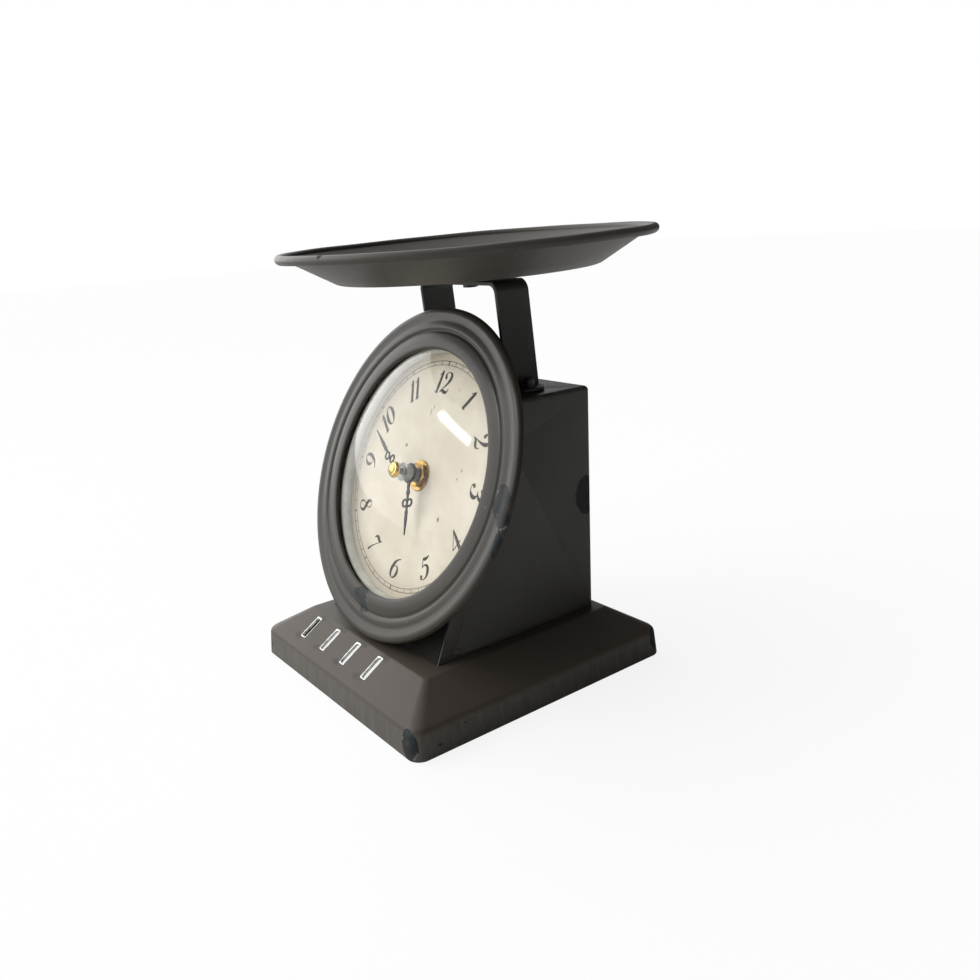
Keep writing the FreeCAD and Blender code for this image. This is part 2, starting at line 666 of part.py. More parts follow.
# ---------------------------------------------------------------- movement
HOUR_LAYER = (-16.4, -15.5)
CANNON_LAYER = (-17.8, -16.9)
CENTRE_LAYER = (-19.4, -18.6)
THIRD_LAYER = (-21.0, -20.2)
SECONDS_LAYER = (-22.6, -21.8)
STEP_LAYER = (-24.2, -23.4)
MOTION_AT = (7.0, 0.0)
KNOB_AT = (14.75, 0.0)
THIRD_AT = (-6.8, 0.0)
SECONDS_AT = (-6.8, 7.2)
STEP_AT = (-6.8, 13.5)
ROTOR_AT = (-2.0, 13.5)
MOTION_MODULE = 0.25
HOUR_MODULE = 14.0 / 60.0
TRAIN_MODULE = 0.2
STEP_MODULE = 0.18
ROTOR_MODULE = 0.16
PIVOT_FRONT = CASE_FRONT - 0.6
PIVOT_REAR = CASE_REAR - 0.9
ARBORS = (MOTION_AT, THIRD_AT, SECONDS_AT, STEP_AT, ROTOR_AT)


def staff(place, shapes, low=PIVOT_REAR, high=PIVOT_FRONT):
    """Arbor with its wheels, moved to its place."""
    body = join([cylinder(PIVOT, low, high)] + shapes)
    body.translate(Vector(place[0], place[1], 0))
    return body


def movement_case():
    """Moulded case: front wall, side walls and the battery bay's wall."""
    outside = block((-CASE_HALF, -CASE_HALF, CASE_REAR), (CASE_HALF, CASE_HALF, CASE_FRONT))
    outside = outside.makeFillet(2.0, [e for e in outside.Edges if e.BoundBox.ZLength > 10])
    inner = CASE_HALF - CASE_WALL
    train = block((-inner, BAY_WALL_Y, CASE_REAR - 1), (inner, inner, CASE_FRONT - CASE_WALL))
    bay = block((-inner, -inner, CASE_REAR - 1), (inner, BAY_WALL_Y - CASE_WALL, CASE_FRONT - CASE_WALL))
    case = outside.cut(train).cut(bay).cut(cylinder(BUSH_RADIUS, CASE_FRONT - 3, CASE_FRONT + 1))
    for x, y in ARBORS:
        case = case.cut(cylinder(PIVOT + RUNNING, PIVOT_FRONT - 2, PIVOT_FRONT + 0.1, x, y))
    return case


def movement_cover():
    """Rear cover of the train, with holes for the setting knob and the pivots."""
    cover = block((-CASE_HALF, BAY_WALL_Y - CASE_WALL, COVER_REAR), (CASE_HALF, CASE_HALF, CASE_REAR))
    cover = cover.cut(cylinder(1.5 + RUNNING, COVER_REAR - 1, CASE_REAR + 1, *KNOB_AT))
    for x, y in ARBORS:
        cover = cover.cut(cylinder(PIVOT + RUNNING, PIVOT_REAR - 0.1, CASE_REAR + 1, x, y))
    return cover


def centre_bush():
    """Threaded bush that clamps the movement behind the dial."""
    bush = tube(BUSH_RADIUS, HOUR_PIPE + RUNNING, CASE_FRONT - CASE_WALL, -4.5)
    for turn in range(6):
        level = -6.3 + 0.3 * turn
        bush = bush.cut(tube(BUSH_RADIUS + 1, BUSH_RADIUS - 0.12, level, level + 0.14))
    return bush


def rubber_washer():
    """Rubber washer between the movement and the front panel."""
    return tube(9.5, BUSH_RADIUS + 0.1, CASE_FRONT, PANEL_FACE - SHEET)


def brass_washer():
    """Broad brass washer on the dial."""
    return tube(WASHER_RADIUS, BUSH_RADIUS + 0.1, DIAL_FACE, DIAL_FACE + WASHER_THICK)


def brass_nut():
    """Brass nut on the threaded bush."""
    low, high = DIAL_FACE + WASHER_THICK, DIAL_FACE + 3.0
    nut = hex_nut(BRASS_NUT_ACROSS, BUSH_RADIUS, low, high)
    chamfer = revolve([(0, low), (7.6, low), (7.6, high - 0.9), (6.0, high), (0, high)])
    return nut.common(chamfer)


def hour_wheel():
    """Hour wheel with its long pipe."""
    wheel = gear(48, HOUR_MODULE, *HOUR_LAYER, 0, phase=0.5)
    pipe = cylinder(HOUR_PIPE, HOUR_LAYER[0], 2.0)
    return join([wheel, pipe]).cut(cylinder(ARBOR + RUNNING, HOUR_LAYER[0] - 1, 3))


def minute_arbor():
    """Centre arbor with the cannon pinion, carrying the minute hand."""
    pinion = gear(14, MOTION_MODULE, *CANNON_LAYER, 0)
    rod = cylinder(ARBOR, CANNON_LAYER[0], MINUTE_HAND_LEVEL - 0.4)
    tip = cylinder(1.0, MINUTE_HAND_LEVEL - 0.5, MINUTE_HAND_LEVEL + HAND_THICK + 1.6)
    tail = cylinder(0.7, CENTRE_LAYER[0] - 0.4, CANNON_LAYER[0] + 0.1)
    return join([pinion, rod, tip, tail])


def centre_wheel():
    """Train wheel that drives the arbor through a slipping clutch."""
    return gear(60, TRAIN_MODULE, *CENTRE_LAYER, 0.7 + RUNNING)


def motion_wheel():
    """Motion wheel and pinion between cannon pinion and hour wheel."""
    wheel = gear(42, MOTION_MODULE, *CANNON_LAYER, 0, phase=0.5)
    pinion = gear(12, HOUR_MODULE, HOUR_LAYER[0] - 0.6, HOUR_LAYER[1], 0)
    return staff(MOTION_AT, [wheel, pinion], low=CANNON_LAYER[0] - 0.5)


def third_wheel():
    """Third wheel and pinion."""
    return staff(THIRD_AT, [gear(64, TRAIN_MODULE, *THIRD_LAYER, 0),
                            gear(8, TRAIN_MODULE, THIRD_LAYER[1] - 0.1, CENTRE_LAYER[1], 0, phase=0.5)])


def seconds_wheel():
    """Seconds wheel and pinion."""
    return staff(SECONDS_AT, [gear(60, STEP_MODULE, *SECONDS_LAYER, 0),
                              gear(8, TRAIN_MODULE, SECONDS_LAYER[1] - 0.1, THIRD_LAYER[1], 0, phase=0.5)])


def step_wheel():
    """Intermediate wheel next to the stepping rotor."""
    return staff(STEP_AT, [gear(50, ROTOR_MODULE, *STEP_LAYER, 0),
                           gear(10, STEP_MODULE, STEP_LAYER[1] - 0.1, SECONDS_LAYER[1], 0)])


def rotor():
    """Magnet rotor of the stepping motor."""
    magnet = cylinder(2.6, -27.0, -25.0)
    return staff(ROTOR_AT, [gear(10, ROTOR_MODULE, *STEP_LAYER, 0, phase=0.5), magnet])


def stator():
    """Laminated stator plate round the rotor, with its core bar."""
    x, y = ROTOR_AT
    body = block((x - 5.5, y - 5.5, -26.5), (x + 26.0, y + 11.5, -25.5))
    hole = cylinder(3.1, -28, -24, x, y)
    space = block((x + 6.0, y - 2.0, -28), (x + 22.0, y + 7.5, -24))
    return body.cut(hole).cut(space).cut(cylinder(1.0, -28, -24, *STEP_AT))


def coil():
    """Wire coil wound on the core bar."""
    x, y = ROTOR_AT
    return block((x + 8.0, y + 6.3, -27.2), (x + 20.0, y + 12.7, -22.6)).cut(
        block((x, y + 7.4, -26.55), (x + 27.0, y + 11.6, -25.45)))


def circuit_board():
    """Small board with the quartz chip."""
    return block((-26.0, -9.0, -27.2), (-14.5, 24.0, -26.2))


def quartz_can():
    """Quartz crystal in its metal can, on the board."""
    return Part.makeCylinder(1.5, 8.0, Vector(-20.0, 8.0, -24.7), Y_AXIS)


def setting_knob():
    """Knob behind the cover that turns the hands."""
    gear_part = gear(20, MOTION_MODULE, *CANNON_LAYER, 0)
    shaft = cylinder(1.5, COVER_REAR - 1.5, CANNON_LAYER[0] + 0.1)
    head = cylinder(5.5, COVER_REAR - 4.5, COVER_REAR - 1.0)
    grips = [cylinder(0.5, COVER_REAR - 5, COVER_REAR, 5.6 * math.cos(a), 5.6 * math.sin(a))
             for a in (math.radians(20 * step) for step in range(18))]
    knob = join([gear_part, shaft, head.cut(Part.makeCompound(grips))])
    knob.translate(Vector(*KNOB_AT, 0))
    return knob


def battery():
    """AA cell lying in the bay, with its button."""
    length = BATTERY_LENGTH
    can = Part.makeCylinder(BATTERY_RADIUS, length, Vector(-length / 2, BATTERY_Y, BATTERY_Z), X_AXIS)
    button = Part.makeCylinder(2.75, 1.2, Vector(length / 2, BATTERY_Y, BATTERY_Z), X_AXIS)
    return join([can, button])


def battery_contact(side):
    """Bent contact blade at one end of the bay."""
    outer = side * (CASE_HALF - CASE_WALL)
    inner = side * (CASE_HALF - CASE_WALL - CONTACT_THICK)
    return block((min(outer, inner), BATTERY_Y - CONTACT_HALF, BATTERY_Z - 4.0),
                 (max(outer, inner), BATTERY_Y + CONTACT_HALF, -15.6))


# ---------------------------------------------------------------- build
ROW_PARTS = {
    "base_pan": base_pan,
    "housing_shell": housing_shell,
    "front_panel": front_panel,
    "panel_rivets": panel_rivets,
    "base_screws": base_screws,
    "bracket_strap": bracket_strap,
    "bracket_screws": bracket_screws,
    "bracket_nuts": bracket_nuts,
    "tray": tray,
    "tray_spacer": tray_spacer,
    "tray_screw": tray_screw,
    "tray_nut": tray_nut,
}
DIAL_PARTS = {
    "bezel_ring": bezel_ring,
    "lens_glass": lens_glass,
    "wall_ring": wall_ring,
    "dial_pan": dial_pan,
    "pan_screws": pan_screws,
    "dial_plate": dial_plate,
    "dial_paper": dial_paper,
    "hour_hand": hour_hand,
    "hour_collet": hour_collet,
    "minute_hand": minute_hand,
    "cap_nut": cap_nut,
    "movement_case": movement_case,
    "movement_cover": movement_cover,
    "centre_bush": centre_bush,
    "rubber_washer": rubber_washer,
    "brass_washer": brass_washer,
    "brass_nut": brass_nut,
    "hour_wheel": hour_wheel,
    "minute_arbor": minute_arbor,
    "centre_wheel": centre_wheel,
    "motion_wheel": motion_wheel,
    "third_wheel": third_wheel,
    "seconds_wheel": seconds_wheel,
    "step_wheel": step_wheel,
    "rotor": rotor,
    "stator": stator,
    "coil": coil,
    "circuit_board": circuit_board,
    "quartz_can": quartz_can,
    "setting_knob": setting_knob,
    "battery": battery,
    "contact_positive": lambda: battery_contact(1),
    "contact_negative": lambda: battery_contact(-1),
}


def main():
    """Write one STEP file for each node."""
    os.makedirs("parts", exist_ok=True)
    shapes = {name: make() for name, make in ROW_PARTS.items()}
    shapes.update({name: on_dial(make()) for name, make in DIAL_PARTS.items()})
    for name, shape in shapes.items():
        if not shape.isValid() or not shape.Solids:
            print("CHECK", name, "valid", shape.isValid(), "solids", len(shape.Solids))
        box = shape.optimalBoundingBox(True, False)
        print(f"{name:18s} {len(shape.Solids)} solids {shape.Volume:10.1f} mm3 "
              f"x {box.XMin:7.2f} {box.XMax:7.2f} y {box.YMin:7.2f} {box.YMax:7.2f} "
              f"z {box.ZMin:7.2f} {box.ZMax:7.2f}")
        shape.exportStep(f"parts/{name}.step")


main()
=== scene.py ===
"""Table clock shaped like an old kitchen scale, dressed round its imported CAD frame.

Everything is in metres with +Z up. The dial faces -Y and leans back. The CAD fixes
every place, and this script adds finer meshes, printed numerals, finishes, a floor,
lamps and the camera.
"""
import json
import logging
import math
from dataclasses import dataclass, field
from enum import Enum
from typing import Any, Iterable, Sequence, Union

import bmesh
import bpy
import numpy as np
from mathutils import Matrix, Vector


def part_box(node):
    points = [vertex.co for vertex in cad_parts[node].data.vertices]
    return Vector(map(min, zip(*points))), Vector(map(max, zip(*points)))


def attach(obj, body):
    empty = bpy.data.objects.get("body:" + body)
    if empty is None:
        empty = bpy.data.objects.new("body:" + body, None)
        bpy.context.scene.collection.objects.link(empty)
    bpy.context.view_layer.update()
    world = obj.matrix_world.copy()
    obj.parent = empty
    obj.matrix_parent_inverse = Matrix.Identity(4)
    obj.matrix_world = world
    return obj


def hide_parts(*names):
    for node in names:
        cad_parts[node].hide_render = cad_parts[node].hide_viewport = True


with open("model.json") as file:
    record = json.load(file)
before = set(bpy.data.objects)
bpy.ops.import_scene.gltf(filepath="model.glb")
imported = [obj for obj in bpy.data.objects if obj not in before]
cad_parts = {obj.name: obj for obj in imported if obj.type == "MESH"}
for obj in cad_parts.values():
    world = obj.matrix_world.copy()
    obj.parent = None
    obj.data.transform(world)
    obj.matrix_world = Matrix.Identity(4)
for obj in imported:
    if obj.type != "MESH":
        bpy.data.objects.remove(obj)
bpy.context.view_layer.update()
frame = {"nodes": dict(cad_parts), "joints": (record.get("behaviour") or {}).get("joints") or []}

MM = 0.001
LOG = logging.getLogger("table_clock")
HINGE_DEPTH = 18.0
WELD = 2e-6
WHITE = (1.0, 1.0, 1.0, 1.0)
WIDE_TURN = 256
TRACK_TURN = 240
SMALL_TURN = 72
CELL = 0.08
MELT = 0.3

Number = Union[int, float]
Colour = tuple[float, float, float]
Point = tuple[float, float, float]


# ------------------------------------------------------------------ places
def dial_place() -> Matrix:
    """Work out the dial frame from the minute hand's hinge.

    Returns:
        Matrix from millimetres of the dial frame to metres of the row frame.
    """
    hinge = next(j for j in frame["joints"] if j["name"] == "minute_hand_turn")
    out = Vector(hinge["axis"]).normalized()
    right = Vector((1.0, 0.0, 0.0))
    up = out.cross(right)
    centre = Vector(hinge["pos_m"]) + out * (HINGE_DEPTH * MM)
    turn = Matrix((right, up, out)).transposed().to_4x4()
    return Matrix.Translation(centre) @ turn @ Matrix.Scale(MM, 4)


DIAL = dial_place()
ROW = Matrix.Scale(MM, 4)
DIAL_LEAN = math.acos(DIAL.col[2].z / MM)


def on_dial(x: float, y: float, z: float) -> Vector:
    """Give the row frame place, in metres, of a dial frame point in millimetres."""
    return DIAL @ Vector((x, y, z))


def clockwise(radius: float, angle: float) -> tuple[float, float]:
    """Give dial frame (x, y) for a radius and degrees clockwise from the 12."""
    turn = math.radians(angle)
    return radius * math.sin(turn), radius * math.cos(turn)


# ------------------------------------------------------------------ node graphs
class Wire:
    """A node socket that takes part in Python arithmetic."""

    def __init__(self, graph: "Graph", socket: bpy.types.NodeSocket) -> None:
        """Hold the socket and the graph it belongs to."""
        self.graph = graph
        self.socket = socket

    def _with(self, operation: str, first: Any, second: Any = None, third: Any = None) -> "Wire":
        """Add one Math node.

        Args:
            operation: Name of the Math node's operation.
            first: First value or wire.
            second: Second value or wire.
            third: Third value or wire.

        Returns:
            The node's result.
        """
        inputs = {i: v for i, v in enumerate((first, second, third)) if v is not None}
        return self.graph.node("ShaderNodeMath", {"operation": operation}, inputs)

    def __add__(self, other: Any) -> "Wire":
        """Sum."""
        return self._with("ADD", self, other)

    def __radd__(self, other: Any) -> "Wire":
        """Reflected sum."""
        return self._with("ADD", other, self)

    def __sub__(self, other: Any) -> "Wire":
        """Difference."""
        return self._with("SUBTRACT", self, other)

    def __rsub__(self, other: Any) -> "Wire":
        """Reflected difference."""
        return self._with("SUBTRACT", other, self)

    def __mul__(self, other: Any) -> "Wire":
        """Product."""
        return self._with("MULTIPLY", self, other)

    def __rmul__(self, other: Any) -> "Wire":
        """Reflected product."""
        return self._with("MULTIPLY", other, self)

    def __truediv__(self, other: Any) -> "Wire":
        """Quotient."""
        return self._with("DIVIDE", self, other)

    def __rtruediv__(self, other: Any) -> "Wire":
        """Reflected quotient."""
        return self._with("DIVIDE", other, self)

    def at_least(self, other: Any) -> "Wire":
        """The larger of two values."""
        return self._with("MAXIMUM", self, other)

    def step(self, low: Number, high: Number) -> "Wire":
        """Rise smoothly from 0 to 1 between two values.

        Args:
            low: Value that gives 0.
            high: Value that gives 1.

        Returns:
            The eased mask.
        """
        names = {"Value": self, "From Min": low, "From Max": high}
        return self.graph.node("ShaderNodeMapRange", {"interpolation_type": "SMOOTHSTEP"}, names)


class Graph:
    """Builds the nodes of one material or one geometry tree."""

    def __init__(self, tree: bpy.types.NodeTree) -> None:
        """Start from an empty tree."""
        self.tree = tree
        tree.nodes.clear()

    def raw(self, kind: str, settings: dict[str, Any] | None = None,
            inputs: dict[Any, Any] | None = None) -> bpy.types.Node:
        """Add a node, its settings first and then its sockets.

        Args:
            kind: Blender's type name of the node.
            settings: Properties of the node.
            inputs: Values or wires by socket name or number.

        Returns:
            The node.
        """
        made = self.tree.nodes.new(kind)
        for name, value in (settings or {}).items():
            setattr(made, name, value)
        for key, value in (inputs or {}).items():
            self.feed(made, key, value)
        return made

    def feed(self, node: bpy.types.Node, key: Any, value: Any) -> None:
        """Give a socket its value or its link.

        Args:
            node: Node that owns the socket.
            key: Socket's name, identifier or number.
            value: Value, wire or None.
        """
        found = [s for s in node.inputs if s.identifier == key] if isinstance(key, str) else []
        target = found[0] if found else node.inputs[key]
        if isinstance(value, Wire):
            self.tree.links.new(value.socket, target)
        else:
            target.default_value = value

    def node(self, kind: str, settings: dict[str, Any] | None = None,
             inputs: dict[Any, Any] | None = None, output: Any = 0) -> Wire:
        """Add a node and give one of its outputs.

        Args:
            kind: Blender's type name of the node.
            settings: Properties of the node.
            inputs: Values or wires by socket name or number.
            output: Name or number of the output.

        Returns:
            The output as a wire.
        """
        made = self.raw(kind, settings, inputs)
        found = [s for s in made.outputs if s.identifier == output] if isinstance(output, str) else []
        return Wire(self, found[0] if found else made.outputs[output])

    def place(self) -> Wire:
        """Object coordinates, in metres of the row frame."""
        return self.node("ShaderNodeTexCoord", output="Object")

    def moved(self, place: Wire, centre: Sequence[float], turn: Sequence[float] = (0, 0, 0),
              scale: Sequence[float] = (1, 1, 1)) -> Wire:
        """Carry coordinates into the frame of a patch.

        Args:
            place: Coordinates.
            centre: Origin of the patch, in metres.
            turn: Its rotation in radians.
            scale: Its size along each of its axes.

        Returns:
            Coordinates measured in the patch's frame.
        """
        return self.node("ShaderNodeMapping", {"vector_type": "TEXTURE"},
                         {"Vector": place, "Location": centre, "Rotation": turn, "Scale": scale})

    def noise(self, place: Wire, scale: float, detail: float = 3.0, rough: float = 0.55,
              stretch: Sequence[float] = (1, 1, 1)) -> Wire:
        """Fractal noise of a given scale.

        Args:
            place: Coordinates in metres.
            scale: Waves per metre.
            detail: Octaves.
            rough: Weight of the finer octaves.
            stretch: Length of the grain along each axis.

        Returns:
            Noise about 0.5.
        """
        grain = self.moved(place, (0, 0, 0), scale=stretch)
        return self.node("ShaderNodeTexNoise", {}, {"Vector": grain, "Scale": scale, "Detail": detail,
                                                    "Roughness": rough})

    def mix(self, factor: Any, first: Any, second: Any) -> Wire:
        """Mix two colours.

        Args:
            factor: Share of the second colour.
            first: Colour or wire.
            second: Colour or wire.

        Returns:
            The mixed colour.
        """
        names = {"Factor_Float": factor, "A_Color": rgba(first), "B_Color": rgba(second)}
        return self.node("ShaderNodeMix", {"data_type": "RGBA"}, names, output="Result_Color")

    def length(self, vector: Wire) -> Wire:
        """Length of a vector."""
        return self.node("ShaderNodeVectorMath", {"operation": "LENGTH"}, {0: vector}, output="Value")

    def parts(self, vector: Wire) -> tuple[Wire, Wire, Wire]:
        """Split a vector into its three values."""
        node = self.raw("ShaderNodeSeparateXYZ", {}, {"Vector": vector})
        return tuple(Wire(self, socket) for socket in node.outputs)

    def bump(self, height: Wire, strength: float, distance: float, normal: Wire | None = None) -> Wire:
        """Turn a height into a normal.

        Args:
            height: Height, 0 to 1.
            strength: Share of the effect.
            distance: Real height of 1, in metres.
            normal: Normal to build on.

        Returns:
            The bumped normal.
        """
        names: dict[str, Any] = {"Height": height, "Strength": strength, "Distance": distance}
        if normal is not None:
            names["Normal"] = normal
        return self.node("ShaderNodeBump", {}, names)

    def principled(self, **sockets: Any) -> Wire:
        """Main shader with its sockets given by name, spaces as underscores."""
        names = {name.replace("_", " "): value for name, value in sockets.items()}
        return self.node("ShaderNodeBsdfPrincipled", {}, names)

    def surface(self, shader: Wire) -> None:
        """Send a shader to the material's output."""
        self.raw("ShaderNodeOutputMaterial", {}, {"Surface": shader})


def rgba(colour: Any) -> Any:
    """Give a plain colour its fourth number."""
    return (*colour, 1.0) if isinstance(colour, tuple) and len(colour) == 3 else colour


def scaled(colour: Colour, factor: float) -> Colour:
    """Brighten or darken a colour."""
    return tuple(part * factor for part in colour)


# ------------------------------------------------------------------ finishes
@dataclass(frozen=True)
class Chip:
    """A patch where paint has come off.

    Attributes:
        centre: Middle of the patch, in metres.
        reach: Half size along each axis, in metres.
        ragged: How uneven its edge is.
        turn: Rotation of the patch about X, in radians.
    """

    centre: tuple[float, float, float]
    reach: tuple[float, float, float]
    ragged: float = 0.9
    turn: float = 0.0

    def depth(self, graph: Graph, place: Wire, ripple: Wire) -> Wire:
        """Give a value above 0 inside the patch.

        Args:
            graph: Material's graph.
            place: Object coordinates.
            ripple: Noise about 0.5 that frays the edge.

        Returns:
            Depth into the patch.
        """
        inside = graph.moved(place, self.centre, (self.turn, 0.0, 0.0), self.reach)
        return 1.0 - graph.length(inside) + (ripple - 0.5) * self.ragged


def joined(patches: Sequence[Chip], graph: Graph, place: Wire, ripple: Wire) -> Wire:
    """Join several patches into one depth.

    Args:
        patches: Patches to join.
        graph: Material's graph.
        place: Object coordinates.
        ripple: Noise that frays their edges.

    Returns:
        Depth into the nearest patch.
    """
    depths = [patch.depth(graph, place, ripple) for patch in patches]
    deepest = depths[0]
    for depth in depths[1:]:
        deepest = deepest.at_least(depth)
    return deepest


@dataclass(frozen=True)
class Finish:
    """What every finish can do.

    Attributes:
        name: Name of the material.
    """

    name: str

    def material(self) -> bpy.types.Material:
        """Make the material once and give it again when asked again.

        Returns:
            The material.
        """
        found = bpy.data.materials.get(self.name)
        if found is not None:
            return found
        made = bpy.data.materials.new(self.name)
        made.use_nodes = True
        self.dress(Graph(made.node_tree))
        return made

    def dress(self, graph: Graph) -> None:
        """Build the shader.

        Args:
            graph: Material's graph.
        """
        raise NotImplementedError


@dataclass(frozen=True)
class SatinPaint(Finish):
    """Sprayed satin paint on sheet steel, with wear.

    Attributes:
        colour: Colour of the paint.
        rough: Roughness of the paint.
        chips: Patches of bare steel.
        streaks: Share of paler upright streaks near the bottom.
        smudges: Darker patches.
        bare: Colour of the steel under the paint.
        coat: Weight of the clear top layer.
        rim: Strength of the pale edge round a bare patch.
        glance: Strength of the paint's own mirror reflection.
    """

    colour: Colour = (0.066, 0.054, 0.044)
    rough: float = 0.42
    chips: tuple[Chip, ...] = ()
    streaks: float = 0.0
    smudges: tuple[Chip, ...] = ()
    bare: Colour = (0.026, 0.030, 0.030)
    coat: float = 0.0
    rim: float = 0.6
    glance: float = 0.20

    def dress(self, graph: Graph) -> None:
        """Build the shader.

        Args:
            graph: Material's graph.
        """
        place = graph.place()
        cloud = graph.noise(place, 14.0, 4.0)
        fine = graph.noise(place, 160.0, 4.0, 0.6)
        peel = graph.noise(place, 750.0, 2.0, 0.4)
        colour = graph.mix(cloud.step(0.3, 0.7), scaled(self.colour, 0.92), scaled(self.colour, 1.09))
        rough = self.rough + (cloud - 0.5) * 0.12 + (fine - 0.5) * 0.10
        dust = graph.noise(place, 420.0, 1.0, 0.3)
        colour = graph.mix(dust.step(0.79, 0.84) * 0.35, colour, (0.24, 0.22, 0.20))
        if self.streaks:
            colour, rough = self._streaked(graph, place, colour, rough)
        if self.smudges:
            mask = joined(self.smudges, graph, place, graph.noise(place, 190.0, 4.0))
            mask = mask.step(0.05, 0.75) * fine.step(0.25, 0.6)
            colour = graph.mix(mask * 0.75, colour, scaled(self.colour, 0.28))
        normal = graph.bump(peel, 0.22, 0.00025)
        if self.chips:
            ripple = graph.noise(place, 190.0, 4.0, 0.6)
            depth = joined(self.chips, graph, place, ripple)
            mask = depth.step(0.0, 0.05)
            steel = graph.mix(fine.step(0.35, 0.65), scaled(self.bare, 0.72), scaled(self.bare, 1.35))
            rim = mask - depth.step(0.10, 0.20)
            steel = graph.mix(rim * fine.step(0.50, 0.66) * self.rim, steel, (0.26, 0.255, 0.235))
            colour = graph.mix(mask, colour, steel)
            rough = rough + mask * 0.30
            normal = graph.bump(mask, 0.5, 0.00012, normal)
        graph.surface(graph.principled(Base_Color=colour, Roughness=rough, Normal=normal,
                                       Specular_IOR_Level=self.glance, Coat_Weight=self.coat,
                                       Coat_Roughness=0.14))

    def _streaked(self, graph: Graph, place: Wire, colour: Wire, rough: Wire) -> tuple[Wire, Wire]:
        """Make the skirt paler towards the bottom, in upright streaks.

        Args:
            graph: Material's graph.
            place: Object coordinates.
            colour: Colour so far.
            rough: Roughness so far.

        Returns:
            The new colour and roughness.
        """
        level = graph.parts(place)[2]
        low = 1.0 - level.step(0.0115, 0.0150)
        grain = graph.noise(place, 380.0, 3.0, 0.6, stretch=(1.0, 1.0, 9.0))
        mask = low * (0.35 + grain.step(0.25, 0.78) * 0.65) * self.streaks
        return graph.mix(mask, colour, (0.125, 0.123, 0.112)), rough + low * 0.08


@dataclass(frozen=True)
class Metal(Finish):
    """Bare or plated metal with fine marks.

    Attributes:
        colour: Colour of the metal.
        tarnish: Colour of its dull places.
        rough: Roughness.
        metallic: Share of metal.
        marks: Strength of the fine marks.
        spots: Waves per metre of the dull places.
    """

    colour: Colour = (0.55, 0.55, 0.56)
    tarnish: Colour = (0.30, 0.30, 0.31)
    rough: float = 0.30
    metallic: float = 1.0
    marks: float = 0.25
    spots: float = 260.0

    def dress(self, graph: Graph) -> None:
        """Build the shader.

        Args:
            graph: Material's graph.
        """
        place = graph.place()
        dull = graph.noise(place, self.spots, 4.0, 0.65)
        grain = graph.noise(place, 1400.0, 3.0, 0.5, stretch=(3.0, 1.0, 1.0))
        colour = graph.mix(dull.step(0.42, 0.75), self.colour, self.tarnish)
        rough = self.rough + (dull - 0.5) * 0.25 + (grain - 0.5) * 0.15
        normal = graph.bump(grain, self.marks, 0.00008)
        graph.surface(graph.principled(Base_Color=colour, Roughness=rough.at_least(0.04),
                                       Metallic=self.metallic, Normal=normal))


@dataclass(frozen=True)
class Plastic(Finish):
    """Moulded plastic, rubber, sleeve or thin lacquer.

    Attributes:
        colour: Colour of the plastic.
        rough: Roughness.
        texture: Waves per metre of its moulded texture.
        relief: Height of that texture, in metres.
        drift: How far the colour drifts.
    """

    colour: Colour = (0.02, 0.02, 0.02)
    rough: float = 0.45
    texture: float = 1800.0
    relief: float = 0.00006
    drift: float = 0.18

    def dress(self, graph: Graph) -> None:
        """Build the shader.

        Args:
            graph: Material's graph.
        """
        place = graph.place()
        broad = graph.noise(place, 60.0, 3.0)
        grain = graph.noise(place, self.texture, 2.0, 0.5)
        colour = graph.mix(broad.step(0.3, 0.7), scaled(self.colour, 1 - self.drift),
                           scaled(self.colour, 1 + self.drift))
        rough = self.rough + (broad - 0.5) * 0.14
        graph.surface(graph.principled(Base_Color=colour, Roughness=rough,
                                       Normal=graph.bump(grain, 0.4, self.relief)))


@dataclass(frozen=True)
class PrintedPaper(Finish):
    """Aged cream paper with faint clouds, foxing, fibres and a darker rim.

    Attributes:
        colour: Main colour.
        shade: Colour of the clouds.
        stain: Colour of the foxing.
        marks: Small spots and scratches.
        mark_colour: Their colour.
    """

    colour: Colour = (0.78, 0.705, 0.595)
    shade: Colour = (0.67, 0.595, 0.485)
    # stain: Colour of the foxing and of the darker rim.
    stain: Colour = (0.30, 0.235, 0.16)
    marks: tuple[Chip, ...] = ()
    mark_colour: Colour = (0.12, 0.09, 0.06)

    def dress(self, graph: Graph) -> None:
        """Build the shader.

        Args:
            graph: Material's graph.
        """
        place = graph.place()
        cloud = graph.noise(place, 26.0, 5.0, 0.6)
        mottle = graph.noise(place, 130.0, 4.0, 0.65)
        fibre = graph.noise(place, 1500.0, 3.0, 0.6, stretch=(4.0, 1.0, 1.0))
        fox = graph.noise(place, 75.0, 2.0, 0.5)
        colour = graph.mix(cloud.step(0.35, 0.68), self.colour, self.shade)
        colour = graph.mix(mottle.step(0.45, 0.75) * 0.35, colour, scaled(self.shade, 0.92))
        colour = graph.mix(fox.step(0.70, 0.80) * 0.5, colour, self.stain)
        # Paper goes darker towards the rim of the dial, mixed towards the stain colour.
        face = graph.moved(place, tuple(DIAL.translation), (DIAL_LEAN, 0.0, 0.0))
        radius = graph.length(graph.node("ShaderNodeVectorMath", {"operation": "MULTIPLY"},
                                         {0: face, 1: (1.0, 1.0, 0.0)}))
        colour = graph.mix(radius.step(0.050, 0.068) * 0.35, colour, self.stain)
        colour = graph.mix(fibre.step(0.55, 0.8) * 0.12, colour, scaled(self.colour, 1.15))
        normal = graph.bump(fibre, 0.06, 0.00004)
        if self.marks:
            frayed = graph.noise(place, 900.0, 3.0, 0.6)
            depth = joined(self.marks, graph, place, frayed)
            colour = graph.mix(depth.step(0.0, 0.5) * 0.8, colour, self.mark_colour)
        graph.surface(graph.principled(Base_Color=colour, Roughness=0.62 + (mottle - 0.5) * 0.2,
                                       Normal=normal))


